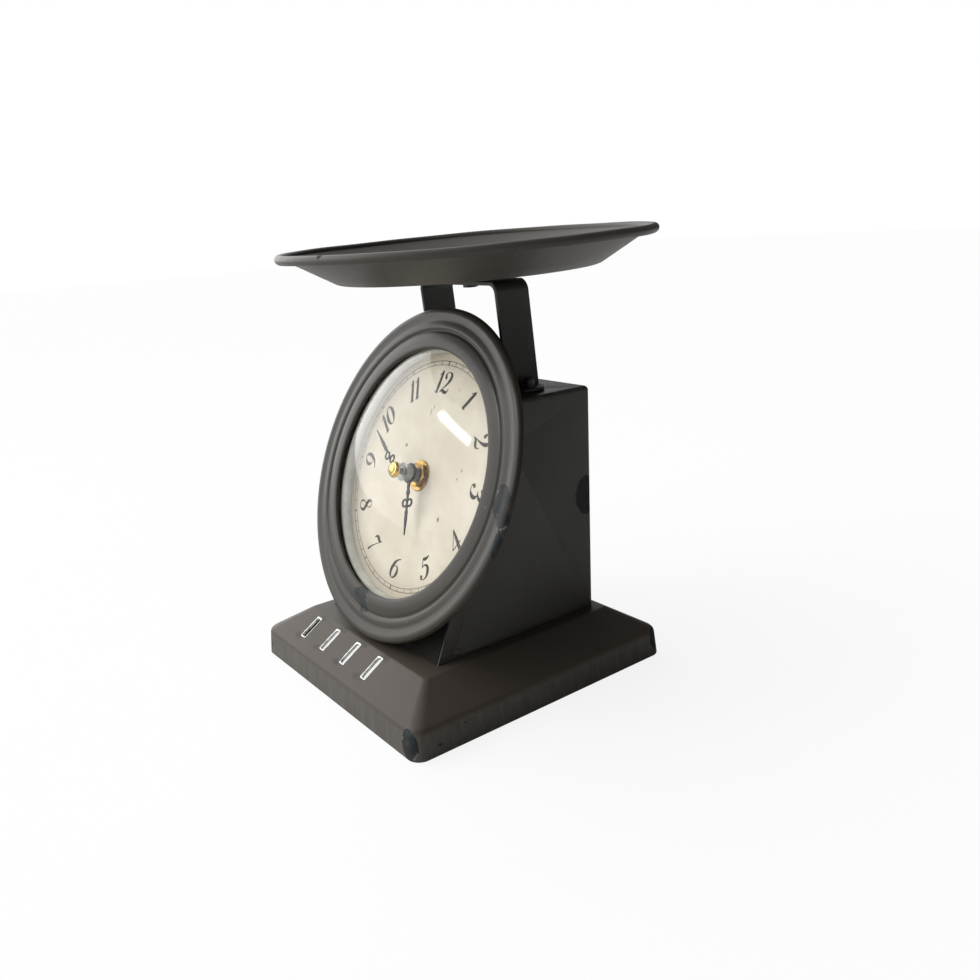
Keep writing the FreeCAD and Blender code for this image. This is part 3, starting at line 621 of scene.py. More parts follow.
@dataclass(frozen=True)
class Ink(Finish):
    """Printed ink that is worn thin in places.

    Attributes:
        colour: Colour of full ink.
        worn: Colour where it is thin.
    """

    colour: Colour = (0.020, 0.013, 0.008)
    worn: Colour = (0.13, 0.10, 0.07)

    def dress(self, graph: Graph) -> None:
        """Build the shader.

        Args:
            graph: Material's graph.
        """
        place = graph.place()
        thin = graph.noise(place, 420.0, 4.0, 0.7)
        broad = graph.noise(place, 45.0, 2.0)
        mask = thin.step(0.52, 0.72) * 0.7 + broad.step(0.5, 0.75) * 0.25
        colour = graph.mix(mask, self.colour, self.worn)
        graph.surface(graph.principled(Base_Color=colour, Roughness=0.55 + thin * 0.2))


@dataclass(frozen=True)
class ClearGlass(Finish):
    """Thin clear glass that mirrors more at its edges.

    Attributes:
        tint: Colour of what passes through.
        gloss: Roughness of its mirror.
        haze: Share of the dust film.
        face_on: Share mirrored when seen face on.
    """

    tint: Colour = (0.965, 0.97, 0.965)
    gloss: float = 0.08
    haze: float = 0.05
    face_on: float = 0.020

    def dress(self, graph: Graph) -> None:
        """Build the shader.

        Args:
            graph: Material's graph.
        """
        place = graph.place()
        film = graph.noise(place, 35.0, 4.0, 0.6)
        smear = graph.noise(place, 240.0, 3.0, 0.6, stretch=(1.0, 3.0, 3.0))
        clear = graph.node("ShaderNodeBsdfTransparent", {}, {"Color": rgba(self.tint)})
        mirror = graph.node("ShaderNodeBsdfGlossy", {}, {"Color": WHITE, "Roughness": self.gloss})
        dust = graph.node("ShaderNodeBsdfDiffuse", {}, {"Color": (0.75, 0.75, 0.73, 1)})
        mask = film.step(0.45, 0.75) * smear.step(0.35, 0.65) * self.haze
        body = graph.node("ShaderNodeMixShader", {}, {0: mask, 1: clear, 2: dust})
        facing = graph.node("ShaderNodeLayerWeight", {}, {"Blend": 0.5}, output="Facing")
        outside = 1.0 - graph.node("ShaderNodeNewGeometry", output="Backfacing")
        squared = facing * facing
        edge = (self.face_on + (1.0 - self.face_on) * squared * squared * facing) * outside
        graph.surface(graph.node("ShaderNodeMixShader", {}, {0: edge, 1: body, 2: mirror}))


# ------------------------------------------------------------------ shapes
@dataclass
class Form:
    """Points and faces of a piece, in millimetres of its own frame.

    Attributes:
        points: Corners.
        faces: Corner numbers of each face.
    """

    points: list[Point] = field(default_factory=list)
    faces: list[tuple[int, ...]] = field(default_factory=list)

    def add(self, points: Sequence[Point], faces: Iterable[Sequence[int]]) -> "Form":
        """Add more points and faces.

        Args:
            points: Corners.
            faces: Corner numbers, counted within the new points.

        Returns:
            The form itself.
        """
        start = len(self.points)
        self.points += [tuple(p) for p in points]
        self.faces += [tuple(start + i for i in face) for face in faces]
        return self

    def join(self, other: "Form", place: Matrix | None = None) -> "Form":
        """Add another form, moved by a matrix.

        Args:
            other: Form to add.
            place: Matrix for its points.

        Returns:
            The form itself.
        """
        moved = other.points if place is None else [tuple(place @ Vector(p)) for p in other.points]
        return self.add(moved, other.faces)

    def mesh(self, name: str, place: Matrix, crease: float = 32.0) -> bpy.types.Mesh:
        """Make the closed mesh in the row frame.

        Args:
            name: Name of the mesh.
            place: Matrix to metres of the row frame.
            crease: Angle in degrees above which an edge stays sharp.

        Returns:
            The mesh, its faces outwards.
        """
        made = bpy.data.meshes.new(name)
        made.from_pydata([place @ Vector(p) for p in self.points], [], self.faces)
        return cleaned(made, crease)


def cleaned(mesh: bpy.types.Mesh, crease: float = 32.0, weld: float = WELD) -> bpy.types.Mesh:
    """Weld a mesh, turn its faces outwards and shade it smooth.

    Args:
        mesh: Mesh to clean.
        crease: Angle in degrees above which an edge stays sharp.
        weld: Distance under which points are joined, in metres.

    Returns:
        The same mesh.
    """
    work = bmesh.new()
    work.from_mesh(mesh)
    bmesh.ops.remove_doubles(work, verts=work.verts, dist=weld)
    bmesh.ops.dissolve_degenerate(work, edges=work.edges, dist=weld / 4)
    bmesh.ops.recalc_face_normals(work, faces=work.faces)
    for face in work.faces:
        face.smooth = True
    work.to_mesh(mesh)
    work.free()
    mesh.set_sharp_from_angle(angle=math.radians(crease))
    mesh.update()
    return mesh


def linked(name: str, data: bpy.types.ID) -> bpy.types.Object:
    """Make an object and link it to the scene.

    Args:
        name: Name of the object.
        data: Its mesh, curve, lamp or camera.

    Returns:
        The object.
    """
    made = bpy.data.objects.new(name, data)
    bpy.context.scene.collection.objects.link(made)
    return made


def evaluated(holder: bpy.types.Object) -> bpy.types.Mesh:
    """Take an object's mesh with its modifiers applied."""
    depsgraph = bpy.context.evaluated_depsgraph_get()
    return bpy.data.meshes.new_from_object(holder.evaluated_get(depsgraph))


def shaded(mesh: bpy.types.Mesh, crease: float) -> bpy.types.Mesh:
    """Shade a mesh smooth but for edges sharper than an angle.

    Args:
        mesh: Mesh to shade.
        crease: The angle, in degrees.

    Returns:
        The same mesh.
    """
    for face in mesh.polygons:
        face.use_smooth = True
    mesh.set_sharp_from_angle(angle=math.radians(crease))
    return mesh


def lathe(outline: Sequence[tuple[float, float]], segments: int = 192,
          wave: float = 0.0) -> Form:
    """Turn a closed outline about the axis.

    Args:
        outline: (radius, level) points of the closed section.
        segments: Steps round the axis.
        wave: Height in millimetres of a slow uneven wave, largest at the outside.

    Returns:
        The turned form.
    """
    form = Form()
    count = len(outline)
    widest = max(radius for radius, level in outline)
    points: list[Point] = []
    for step in range(segments):
        turn = 2 * math.pi * step / segments
        lift = math.sin(3 * turn + 0.7) * 0.5 + math.sin(5 * turn + 2.1) * 0.3 + math.sin(11 * turn) * 0.2
        for radius, level in outline:
            rise = wave * lift * (radius / widest) ** 6
            points.append((radius * math.cos(turn), radius * math.sin(turn), level + rise))
    faces = []
    for step in range(segments):
        after = (step + 1) % segments
        for index in range(count):
            following = (index + 1) % count
            if outline[index][0] == 0 and outline[following][0] == 0:
                continue
            faces.append((step * count + index, after * count + index,
                          after * count + following, step * count + following))
    return form.add(points, faces)


def arc(centre: tuple[float, float], radius: float, start: float, end: float,
        steps: int = 10) -> list[tuple[float, float]]:
    """Sample an arc.

    Args:
        centre: Middle of the arc.
        radius: Its radius.
        start: First angle in degrees.
        end: Last angle in degrees.
        steps: Number of spans.

    Returns:
        Points along the arc.
    """
    angles = [math.radians(start + (end - start) * i / steps) for i in range(steps + 1)]
    return [(centre[0] + radius * math.cos(a), centre[1] + radius * math.sin(a)) for a in angles]


def smooth_path(points: Sequence[Sequence[float]], spans: int = 8, closed: bool = False) -> list[tuple]:
    """Run a Catmull-Rom curve through points.

    Args:
        points: Points of any dimension.
        spans: Samples between neighbours.
        closed: Whether the last point runs on to the first.

    Returns:
        Points along the curve.
    """
    data = np.array(points, float)
    if closed:
        padded = np.vstack([data[-1:], data, data[:2]])
    else:
        padded = np.vstack([2 * data[0] - data[1], data, 2 * data[-1] - data[-2]])
    found = []
    for index in range(1, len(padded) - 2):
        before, start, end, after = padded[index - 1:index + 3]
        for share in np.arange(spans) / spans:
            found.append(0.5 * (2 * start + (end - before) * share
                                + (2 * before - 5 * start + 4 * end - after) * share ** 2
                                + (3 * start - before - 3 * end + after) * share ** 3))
    if not closed:
        found.append(padded[-2])
    return [tuple(float(v) for v in point) for point in found]


class Silhouette:
    """A flat shape gathered as distances on a fine grid, then traced."""

    def __init__(self, low: tuple[float, float], high: tuple[float, float], cell: float = 0.1) -> None:
        """Lay out the grid.

        Args:
            low: Lowest corner, in millimetres.
            high: Highest corner.
            cell: Size of a cell.
        """
        self.low, self.cell = low, cell
        across = np.arange(low[0], high[0] + cell, cell)
        along = np.arange(low[1], high[1] + cell, cell)
        self.x, self.y = np.meshgrid(across, along, indexing="ij")
        self.depth = np.full(self.x.shape, 99.0)

    def disc(self, x: float, y: float, radius: float, blend: float = 0.0) -> None:
        """Add a disc, melted into its neighbours by a blend length."""
        self._unite(np.hypot(self.x - x, self.y - y) - radius, blend)

    def bar(self, start: Sequence[float], end: Sequence[float], blend: float = 0.0) -> None:
        """Add a tapered bar.

        Args:
            start: (x, y, half width) of one end.
            end: (x, y, half width) of the other end.
            blend: Length over which it melts into its neighbours.
        """
        along = np.array(end[:2], float) - np.array(start[:2], float)
        share = ((self.x - start[0]) * along[0] + (self.y - start[1]) * along[1]) / float(along @ along)
        share = np.clip(share, 0.0, 1.0)
        near = np.hypot(self.x - start[0] - share * along[0], self.y - start[1] - share * along[1])
        self._unite(near - (start[2] + (end[2] - start[2]) * share), blend)

    def stroke(self, path: Sequence[Sequence[float]], blend: float = 0.0) -> None:
        """Add bars along a path of (x, y, half width)."""
        for start, end in zip(path, path[1:]):
            if math.dist(start[:2], end[:2]) > 1e-6:
                self.bar(start, end, blend)

    def hole(self, x: float, y: float, radius: float) -> None:
        """Cut a round hole."""
        self.depth = np.maximum(self.depth, radius - np.hypot(self.x - x, self.y - y))

    def _unite(self, other: np.ndarray, blend: float) -> None:
        """Join a distance field to the shape."""
        if blend:
            share = np.clip(0.5 + 0.5 * (other - self.depth) / blend, 0.0, 1.0)
            self.depth = other * (1 - share) + self.depth * share - blend * share * (1 - share)
        else:
            self.depth = np.minimum(self.depth, other)

    def loops(self) -> list[list[tuple[float, float]]]:
        """Trace the outline.

        Returns:
            Closed loops of (x, y) points.
        """
        inside = self.depth < 0
        code = (inside[:-1, :-1] * 1 + inside[1:, :-1] * 2 + inside[1:, 1:] * 4 + inside[:-1, 1:] * 8)
        onward: dict[tuple, tuple] = {}
        for i, j in zip(*np.nonzero((code > 0) & (code < 15))):
            sides = {"b": (i, j, 0), "r": (i + 1, j, 1), "t": (i, j + 1, 0), "l": (i, j, 1)}
            for start, end in TRACE[int(code[i, j])]:
                onward[sides[start]] = sides[end]
        found = []
        while onward:
            first = next(iter(onward))
            loop, key = [], first
            while key in onward:
                loop.append(self._crossing(key))
                key = onward.pop(key)
            found.append(loop)
        return [loop for loop in found if len(loop) > 5]

    def _crossing(self, key: tuple[int, int, int]) -> tuple[float, float]:
        """Place where the outline crosses one side of a cell.

        Args:
            key: Cell numbers and whether the side is upright.

        Returns:
            The (x, y) of the crossing.
        """
        i, j, upright = key
        k, l = (i, j + 1) if upright else (i + 1, j)
        here, there = self.depth[i, j], self.depth[k, l]
        share = here / (here - there) if here != there else 0.5
        return (self.low[0] + self.cell * (i + (k - i) * share),
                self.low[1] + self.cell * (j + (l - j) * share))


TRACE = {1: ["bl"], 2: ["rb"], 3: ["rl"], 4: ["tr"], 5: ["bl", "tr"], 6: ["tb"], 7: ["tl"], 8: ["lt"],
         9: ["bt"], 10: ["rb", "lt"], 11: ["rt"], 12: ["lr"], 13: ["br"], 14: ["lb"]}


def slab(loops: Iterable[Sequence[tuple[float, float]]], thickness: float, bevel: float = 0.0) -> Form:
    """Thicken flat loops into a plate that lies on z = 0.

    Args:
        loops: Closed outlines, holes among them.
        thickness: Height of the plate.
        bevel: Width of its eased edges.

    Returns:
        The plate.
    """
    curve = bpy.data.curves.new("slab", "CURVE")
    curve.dimensions = "2D"
    curve.fill_mode = "BOTH"
    curve.extrude = thickness / 2 - bevel
    curve.bevel_depth = bevel
    curve.bevel_resolution = 1
    curve.offset = -bevel
    for loop in loops:
        spline = curve.splines.new("POLY")
        spline.points.add(len(loop) - 1)
        for point, (x, y) in zip(spline.points, loop):
            point.co = (x, y, 0.0, 1.0)
        spline.use_cyclic_u = True
    holder = linked("slab", curve)
    made = evaluated(holder)
    form = Form([(v.co.x, v.co.y, v.co.z + thickness / 2) for v in made.vertices],
                [tuple(p.vertices) for p in made.polygons])
    bpy.data.objects.remove(holder)
    bpy.data.curves.remove(curve)
    bpy.data.meshes.remove(made)
    return form


class Layout(Enum):
    """How a repeated part is laid out."""

    RING = "ring"
    ROW = "row"


@dataclass(frozen=True)
class Repeat:
    """Geometry Nodes tree that repeats one small part.

    Attributes:
        layout: Ring or row.
        count: How many.
        radius: Radius of the ring, in metres.
        step: Offset between neighbours of a row, in metres.
    """

    layout: Layout
    count: int
    radius: float = 0.0
    step: Point = (0.0, 0.0, 0.0)

    def tree(self) -> bpy.types.NodeTree:
        """Build the tree with its named inputs.

        Returns:
            The tree.
        """
        made = bpy.data.node_groups.new(f"repeat_{self.layout.value}", "GeometryNodeTree")
        graph = Graph(made)
        face = made.interface
        face.new_socket("Geometry", in_out="OUTPUT", socket_type="NodeSocketGeometry")
        kinds = {"Part": "NodeSocketGeometry", "Count": "NodeSocketInt", "Radius": "NodeSocketFloat",
                 "Step": "NodeSocketVector", "Finish": "NodeSocketMaterial"}
        for name, kind in kinds.items():
            face.new_socket(name, in_out="INPUT", socket_type=kind)
        entry = graph.raw("NodeGroupInput")
        given = {name: Wire(graph, entry.outputs[name]) for name in kinds}
        if self.layout is Layout.RING:
            points = graph.node("GeometryNodeMeshCircle", {}, {"Vertices": given["Count"],
                                                               "Radius": given["Radius"]})
            turn = graph.node("GeometryNodeInputIndex") * (2 * math.pi) / given["Count"]
            euler = graph.node("ShaderNodeCombineXYZ", {}, {"Z": turn})
            rotation = graph.node("FunctionNodeEulerToRotation", {}, {0: euler})
            copies = graph.node("GeometryNodeInstanceOnPoints", {}, {"Points": points, "Rotation": rotation,
                                                                     "Instance": given["Part"]})
        else:
            points = graph.node("GeometryNodeMeshLine", {}, {"Count": given["Count"],
                                                             "Offset": given["Step"]})
            copies = graph.node("GeometryNodeInstanceOnPoints", {}, {"Points": points,
                                                                     "Instance": given["Part"]})
        real = graph.node("GeometryNodeRealizeInstances", {}, {"Geometry": copies})
        dressed = graph.node("GeometryNodeSetMaterial", {}, {"Geometry": real, "Material": given["Finish"]})
        graph.raw("NodeGroupOutput", {}, {"Geometry": dressed})
        return made

    def form(self, part: Form, finish: Finish) -> Form:
        """Repeat a part and take the result as plain points and faces.

        Args:
            part: One part at the origin, +X outwards on a ring, in millimetres.
            finish: Finish set on the copies.

        Returns:
            All copies, in millimetres.
        """
        mesh = bpy.data.meshes.new("part")
        mesh.from_pydata(part.points, [], part.faces)
        holder = linked("part", mesh)
        modifier = holder.modifiers.new("repeat", "NODES")
        modifier.node_group = self.tree()
        values = {"Count": self.count, "Radius": self.radius, "Step": self.step,
                  "Finish": finish.material()}
        for item in modifier.node_group.interface.items_tree:
            if item.in_out == "INPUT" and item.name in values:
                modifier[item.identifier] = values[item.name]
        made = evaluated(holder)
        result = Form([tuple(v.co) for v in made.vertices], [tuple(p.vertices) for p in made.polygons])
        holder.modifiers.remove(modifier)
        bpy.data.objects.remove(holder)
        for spare in (made, mesh):
            bpy.data.meshes.remove(spare)
        return result


# ------------------------------------------------------------------ pieces
@dataclass(frozen=True)
class Piece:
    """How one finished piece joins the frame.

    Attributes:
        name: Name of the piece.
        body: Body that it rides on.
        slot: Material slot of the record; not used.
        finish: Its finish.
        replaces: CAD nodes that it stands for.
    """

    name: str
    body: str
    slot: str
    finish: Finish
    replaces: tuple[str, ...] = ()

    def settle(self, mesh: bpy.types.Mesh) -> bpy.types.Object:
        """Make the object, dress it and hand it to the frame.

        Args:
            mesh: Mesh in metres of the row frame.

        Returns:
            The object.
        """
        made = linked(self.name, mesh)
        mesh.materials.clear()
        mesh.materials.append(self.finish.material())
        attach(made, self.body)
        if self.replaces:
            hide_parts(*self.replaces)
        LOG.info("%s: %d faces on %s", self.name, len(mesh.polygons), self.body)
        return made


def dress_nodes(finish: Finish, *nodes: str) -> None:
    """Give CAD nodes a finish.

    Args:
        finish: Finish for the nodes.
        *nodes: Names of CAD nodes that stay.
    """
    for name in nodes:
        data = frame["nodes"][name].data
        data.materials.clear()
        data.materials.append(finish.material())
        LOG.info("%s keeps its CAD mesh with %s", name, finish.name)


def softened(node: str, width: float, segments: int = 2) -> bpy.types.Mesh:
    """Copy a CAD node's mesh with its sharp edges eased.

    Args:
        node: Name of the node.
        width: Width of the eased edge, in metres.
        segments: Steps across it.

    Returns:
        The eased mesh.
    """
    mesh = frame["nodes"][node].data.copy()
    work = bmesh.new()
    work.from_mesh(mesh)
    bmesh.ops.remove_doubles(work, verts=work.verts, dist=WELD)
    bmesh.ops.dissolve_limit(work, angle_limit=math.radians(1.0), verts=work.verts, edges=work.edges)
    work.to_mesh(mesh)
    work.free()
    holder = linked("softened", mesh)
    bevel = holder.modifiers.new("ease", "BEVEL")
    bevel.width = width
    bevel.segments = segments
    bevel.limit_method = "ANGLE"
    bevel.angle_limit = math.radians(40.0)
    bevel.use_clamp_overlap = True
    bevel.harden_normals = False
    made = evaluated(holder)
    bpy.data.objects.remove(holder)
    return shaded(made, 28.0)


# ------------------------------------------------------------------ sub-assemblies
STEEL = Metal("plated_steel", colour=(0.42, 0.42, 0.43), tarnish=(0.20, 0.20, 0.21), rough=0.34)
BRASS = Metal("polished_brass", colour=(0.80, 0.56, 0.17), tarnish=(0.34, 0.20, 0.06), rough=0.20,
              spots=420.0)
AGED_BRASS = Metal("aged_brass", colour=(0.50, 0.31, 0.085), tarnish=(0.22, 0.12, 0.035), rough=0.27,
                   spots=300.0)
COPPER = Metal("copper_wire", colour=(0.55, 0.24, 0.10), tarnish=(0.30, 0.11, 0.05), rough=0.3)
BLACK = Plastic("hand_lacquer", colour=(0.007, 0.007, 0.007), rough=0.58, relief=0.00002)
GREY = Metal("dull_grey", colour=(0.36, 0.37, 0.38), tarnish=(0.22, 0.23, 0.24), rough=0.42,
             metallic=0.6)
INK = Ink("printed_ink")
# This near-black finish is painted shade: it darkens the front panel and dial pan to stand for the shadow
# under the bezel.
SHADE_BLACK = SatinPaint("painted_shade_black", colour=(0.010, 0.010, 0.009), rough=0.90)


@dataclass
class BasePan:
    """Stamped base: skirt, round shoulder, slopes, deck and four slots.

    Attributes:
        size: Side of the square, in millimetres.
        skirt: Height of the skirt.
        lean: How far the skirt leans in.
        deck_inset: Distance from the side to the deck.
        corner: Radius of the bottom corners.
        sheet: Thickness of the steel.
        hem: Width of the flange it stands on.
        slot_length: Length of a slot.
        slot_width: Width of a slot.
        slot_first: Place of the first slot along X.
        slot_pitch: Distance between slots.
        slot_share: Place of the slots up the front slope.
        slot_count: How many slots.
        slot_reach: How far the slot cutter passes through the slope, each way.
        shoulder: Radius between skirt and slope.
        brow: Radius between slope and deck.
    """

    size: float = 166.0
    skirt: float = 15.2
    lean: float = 1.2
    deck_inset: float = 21.8
    corner: float = 7.0
    sheet: float = 0.9
    hem: float = 6.0
    slot_length: float = 14.2
    slot_width: float = 4.6
    slot_first: float = -45.5
    slot_pitch: float = 22.8
    slot_share: float = 0.60
    slot_count: int = 4
    slot_reach: float = 4.0
    shoulder: float = 4.0
    brow: float = 3.0

    def __post_init__(self) -> None:
        """Read the place and height from the frame."""
        low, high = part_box("base_pan")
        self.deck = high.z / MM
        self.middle = (low.y + high.y) / 2 / MM
        self.rise = self.deck - self.skirt
        self.run = self.deck_inset - self.lean

    def section(self) -> list[tuple[float, float]]:
        """Closed section of the pan as (inset, level).

        Returns:
            Outside from the hem to the deck's middle and back along the inside.
        """
        slope = math.atan2(self.rise, self.run)
        tilt = math.atan2(self.lean, self.skirt)
        turn = math.pi / 2 - tilt - slope
        back = self.shoulder * math.tan(turn / 2)
        start = (self.lean - back * math.sin(tilt), self.skirt - back * math.cos(tilt))
        centre = (start[0] + self.shoulder * math.cos(tilt), start[1] - self.shoulder * math.sin(tilt))
        outside = [(0.5, 0.0), (0.12, 0.12), (0.0, 0.5)]
        outside += [(centre[0] - self.shoulder * math.cos(tilt + turn * share),
                     centre[1] + self.shoulder * math.sin(tilt + turn * share))
                    for share in np.linspace(0, 1, 9)]
        ease = self.brow * math.tan(slope / 2)
        foot = (self.deck_inset - ease * math.cos(slope), self.deck - ease * math.sin(slope))
        outside += [(foot[0] + (self.deck_inset + ease - foot[0]) * share,
                     foot[1] + (self.deck - foot[1]) * (1 - (1 - share) ** 2))
                    for share in np.linspace(0, 1, 7)]
        outside += [(self.deck_inset + 12.0, self.deck), (self.size / 2, self.deck)]
        inside = []
        for index, (inset, level) in enumerate(outside[3:-1], start=3):
            before, after = outside[index - 1], outside[index + 1]
            along = Vector((after[0] - before[0], after[1] - before[1])).normalized()
            inside.append((inset + along.y * self.sheet, level - along.x * self.sheet))
        inside = [(self.size / 2, self.deck - self.sheet)] + inside[::-1]
        flange = [(self.sheet, 1.6), (self.sheet, self.sheet), (self.hem, self.sheet), (self.hem, 0.0)]
        return outside + inside + flange

    def ring(self, inset: float, level: float, steps: int = 10) -> list[Point]:
        """One rounded square of the loft.

        Args:
            inset: Distance in from the base's side.
            level: Height.
            steps: Spans of each corner.

        Returns:
            Points round the square.
        """
        half = self.size / 2 - inset
        if half < 1e-6:
            return [(0.0, self.middle, level)] * (4 * (steps + 1))
        round_off = max(0.6, min(self.corner - inset * 0.19, half * 0.9))
        points: list[Point] = []
        for quarter, (sx, sy) in enumerate(((1, 1), (-1, 1), (-1, -1), (1, -1))):
            for i in range(steps + 1):
                angle = math.radians(90 * quarter + 90 * i / steps)
                points.append((sx * (half - round_off) + round_off * math.cos(angle),
                               self.middle + sy * (half - round_off) + round_off * math.sin(angle),
                               level))
        return points

    def shell(self) -> bpy.types.Mesh:
        """Loft the pan and cut its slots.

        Returns:
            The mesh in the row frame.
        """
        rings = [self.ring(inset, level) for inset, level in self.section()]
        count = len(rings[0])
        points = [p for ring in rings for p in ring]
        faces = []
        for index in range(len(rings)):
            following = (index + 1) % len(rings)
            for i in range(count):
                j = (i + 1) % count
                faces.append((index * count + i, index * count + j,
                              following * count + j, following * count + i))
        blank = Form().add(points, faces).mesh("base_blank", ROW, crease=40.0)
        holder = linked("base_blank", blank)
        cutter = linked("slot_cutter", self.slots().mesh("slot_cutter", ROW))
        cut = holder.modifiers.new("slots", "BOOLEAN")
        cut.operation = "DIFFERENCE"
        cut.solver = "EXACT"
        cut.object = cutter
        made = evaluated(holder)
        bpy.data.objects.remove(holder)
        bpy.data.objects.remove(cutter)
        return shaded(made, 40.0)

    def slot_outline(self, length: float, width: float) -> list[tuple[float, float]]:
        """Round ended slot outline, X across and Y up the slope.

        Args:
            length: Length of the outline.
            width: Width of the outline.

        Returns:
            Points round the outline.
        """
        corner = min(width / 2, 1.2) * 0.8
        points = []
        for quarter, (sx, sy) in enumerate(((1, 1), (-1, 1), (-1, -1), (1, -1))):
            for i in range(6):
                angle = math.radians(90 * quarter + 18 * i)
                points.append((sx * (width / 2 - corner) + corner * math.cos(angle),
                               sy * (length / 2 - corner) + corner * math.sin(angle)))
        return points

    def slope_place(self) -> Matrix:
        """Find the first slot's own frame.

        Returns:
            Matrix from that frame to row millimetres.
        """
        slope = math.atan2(self.rise, self.run)
        front = self.middle - self.size / 2 + self.lean
        centre = Vector((self.slot_first, front + self.run * self.slot_share,
                         self.skirt + self.rise * self.slot_share))
        return Matrix.Translation(centre) @ Matrix.Rotation(slope, 4, "X")

    def slots(self) -> Form:
        """Plugs through all four slots.

        Returns:
            Four plugs in row millimetres.
        """
        outline = self.slot_outline(self.slot_length, self.slot_width)
        count = len(outline)
        points = [(x, y, z) for z in (-self.slot_reach, self.slot_reach) for x, y in outline]
        sides = [(i, (i + 1) % count, count + (i + 1) % count, count + i) for i in range(count)]
        ends = [tuple(range(count))[::-1], tuple(range(count, 2 * count))]
        return self.along_row(Form().add(points, sides + ends))

    def along_row(self, part: Form) -> Form:
        """Repeat a part at every slot.

        Args:
            part: One part in the first slot's own frame.

        Returns:
            All of them in row millimetres.
        """
        placed = Form().join(part, self.slope_place())
        return Repeat(Layout.ROW, self.slot_count, step=(self.slot_pitch, 0.0, 0.0)).form(placed, STEEL)

    def lips(self) -> Form:
        """Bare, burred edges of the four slots.

        Returns:
            Four thin rings in row millimetres.
        """
        rows = [(0.22, 0.02), (0.12, 0.10), (-0.12, 0.10), (-0.45, -0.10), (-0.70, -0.55), (-0.75, -1.3),
                (-0.50, -1.3), (-0.05, -1.0), (-0.05, -0.2)]
        count = len(self.slot_outline(1.0, 1.0))
        points: list[Point] = []
        for grow, level in rows:
            outline = self.slot_outline(self.slot_length + 2 * grow, self.slot_width + 2 * grow)
            points += [(x, y, level) for x, y in outline]
        faces = []
        for index in range(len(rows)):
            following = (index + 1) % len(rows)
            for i in range(count):
                j = (i + 1) % count
                faces.append((index * count + i, index * count + j,
                              following * count + j, following * count + i))
        return self.along_row(Form().add(points, faces))

    def build(self) -> None:
        """Make and dress the base."""
        front = self.middle - self.size / 2
        corner_chips = (Chip((0.0765, (front + 0.5) * MM, 0.0078), (0.0062, 0.0045, 0.0080), 0.7),
                        Chip((-0.0815, (front + 2.0) * MM, 0.008), (0.007, 0.009, 0.009), 0.6),
                        Chip((0.0815, (self.middle + 80) * MM, 0.010), (0.008, 0.007, 0.007), 0.8),
                        Chip((0.0828, -0.0905, 0.0055), (0.0018, 0.0012, 0.0008), 0.6),
                        Chip((0.0828, -0.075, 0.0110), (0.0018, 0.0009, 0.0006), 0.6))
        # Darker patches at both ends of each slot.
        smudges = []
        for index in range(self.slot_count):
            x = self.slot_first + self.slot_pitch * index
            top = self.slope_place() @ Vector((0.0, self.slot_length / 2 + 1.0, 0.0))
            bottom = self.slope_place() @ Vector((-4.0, -self.slot_length / 2 - 0.5, 0.0))
            smudges.append(Chip(((x + 3.0) * MM, top.y * MM, top.z * MM), (0.006, 0.003, 0.003), 1.0))
            smudges.append(Chip(((x - 4.0) * MM, bottom.y * MM, bottom.z * MM), (0.006, 0.003, 0.003), 1.0))
        paint = SatinPaint("base_paint", chips=corner_chips, streaks=0.7, smudges=tuple(smudges))
        Piece("base_shell", "clock_body", "body_paint", paint, ("base_pan",)).settle(self.shell())
        edge = Metal("bare_edge", colour=(0.80, 0.81, 0.78), tarnish=(0.16, 0.16, 0.15), rough=0.34,
                     metallic=0.35, spots=420.0)
        Piece("slot_lips", "clock_body", "fastener_steel", edge).settle(self.lips().mesh("slot_lips", ROW))
        dress_nodes(STEEL, "base_screws")


@dataclass
class Housing:
    """Wedge housing with its front panel, rivets and bracket.

    Attributes:
        ease: Width of the eased sheet edges, in metres.
        strap_ease: Width of the strap's eased edges.
    """

    ease: float = 0.00018
    strap_ease: float = 0.0003

    def build(self) -> None:
        """Make and dress the housing and the bracket."""
        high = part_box("housing_shell")[1]
        wear = (Chip((high.x, 0.0340, 0.0945), (0.004, 0.0082, 0.0112), 0.35),)
        paint = SatinPaint("housing_paint", colour=(0.060, 0.058, 0.051), rough=0.36, chips=wear,
                           bare=(0.012, 0.014, 0.015), rim=0.15)
        Piece("housing_body", "clock_body", "body_paint", paint, ("housing_shell",)).settle(
            softened("housing_shell", self.ease))
        dress_nodes(paint, "panel_rivets")
        # The front panel gets the near-black painted shade of the gap under the bezel.
        dress_nodes(SHADE_BLACK, "front_panel")
        strap_paint = SatinPaint("bracket_paint", colour=(0.020, 0.020, 0.018), rough=0.46)
        Piece("bracket_band", "clock_body", "bracket_paint", strap_paint, ("bracket_strap",)).settle(
            softened("bracket_strap", self.strap_ease))
        dress_nodes(strap_paint, "bracket_screws", "tray_spacer", "tray_nut")
        dress_nodes(STEEL, "bracket_nuts", "tray_screw")


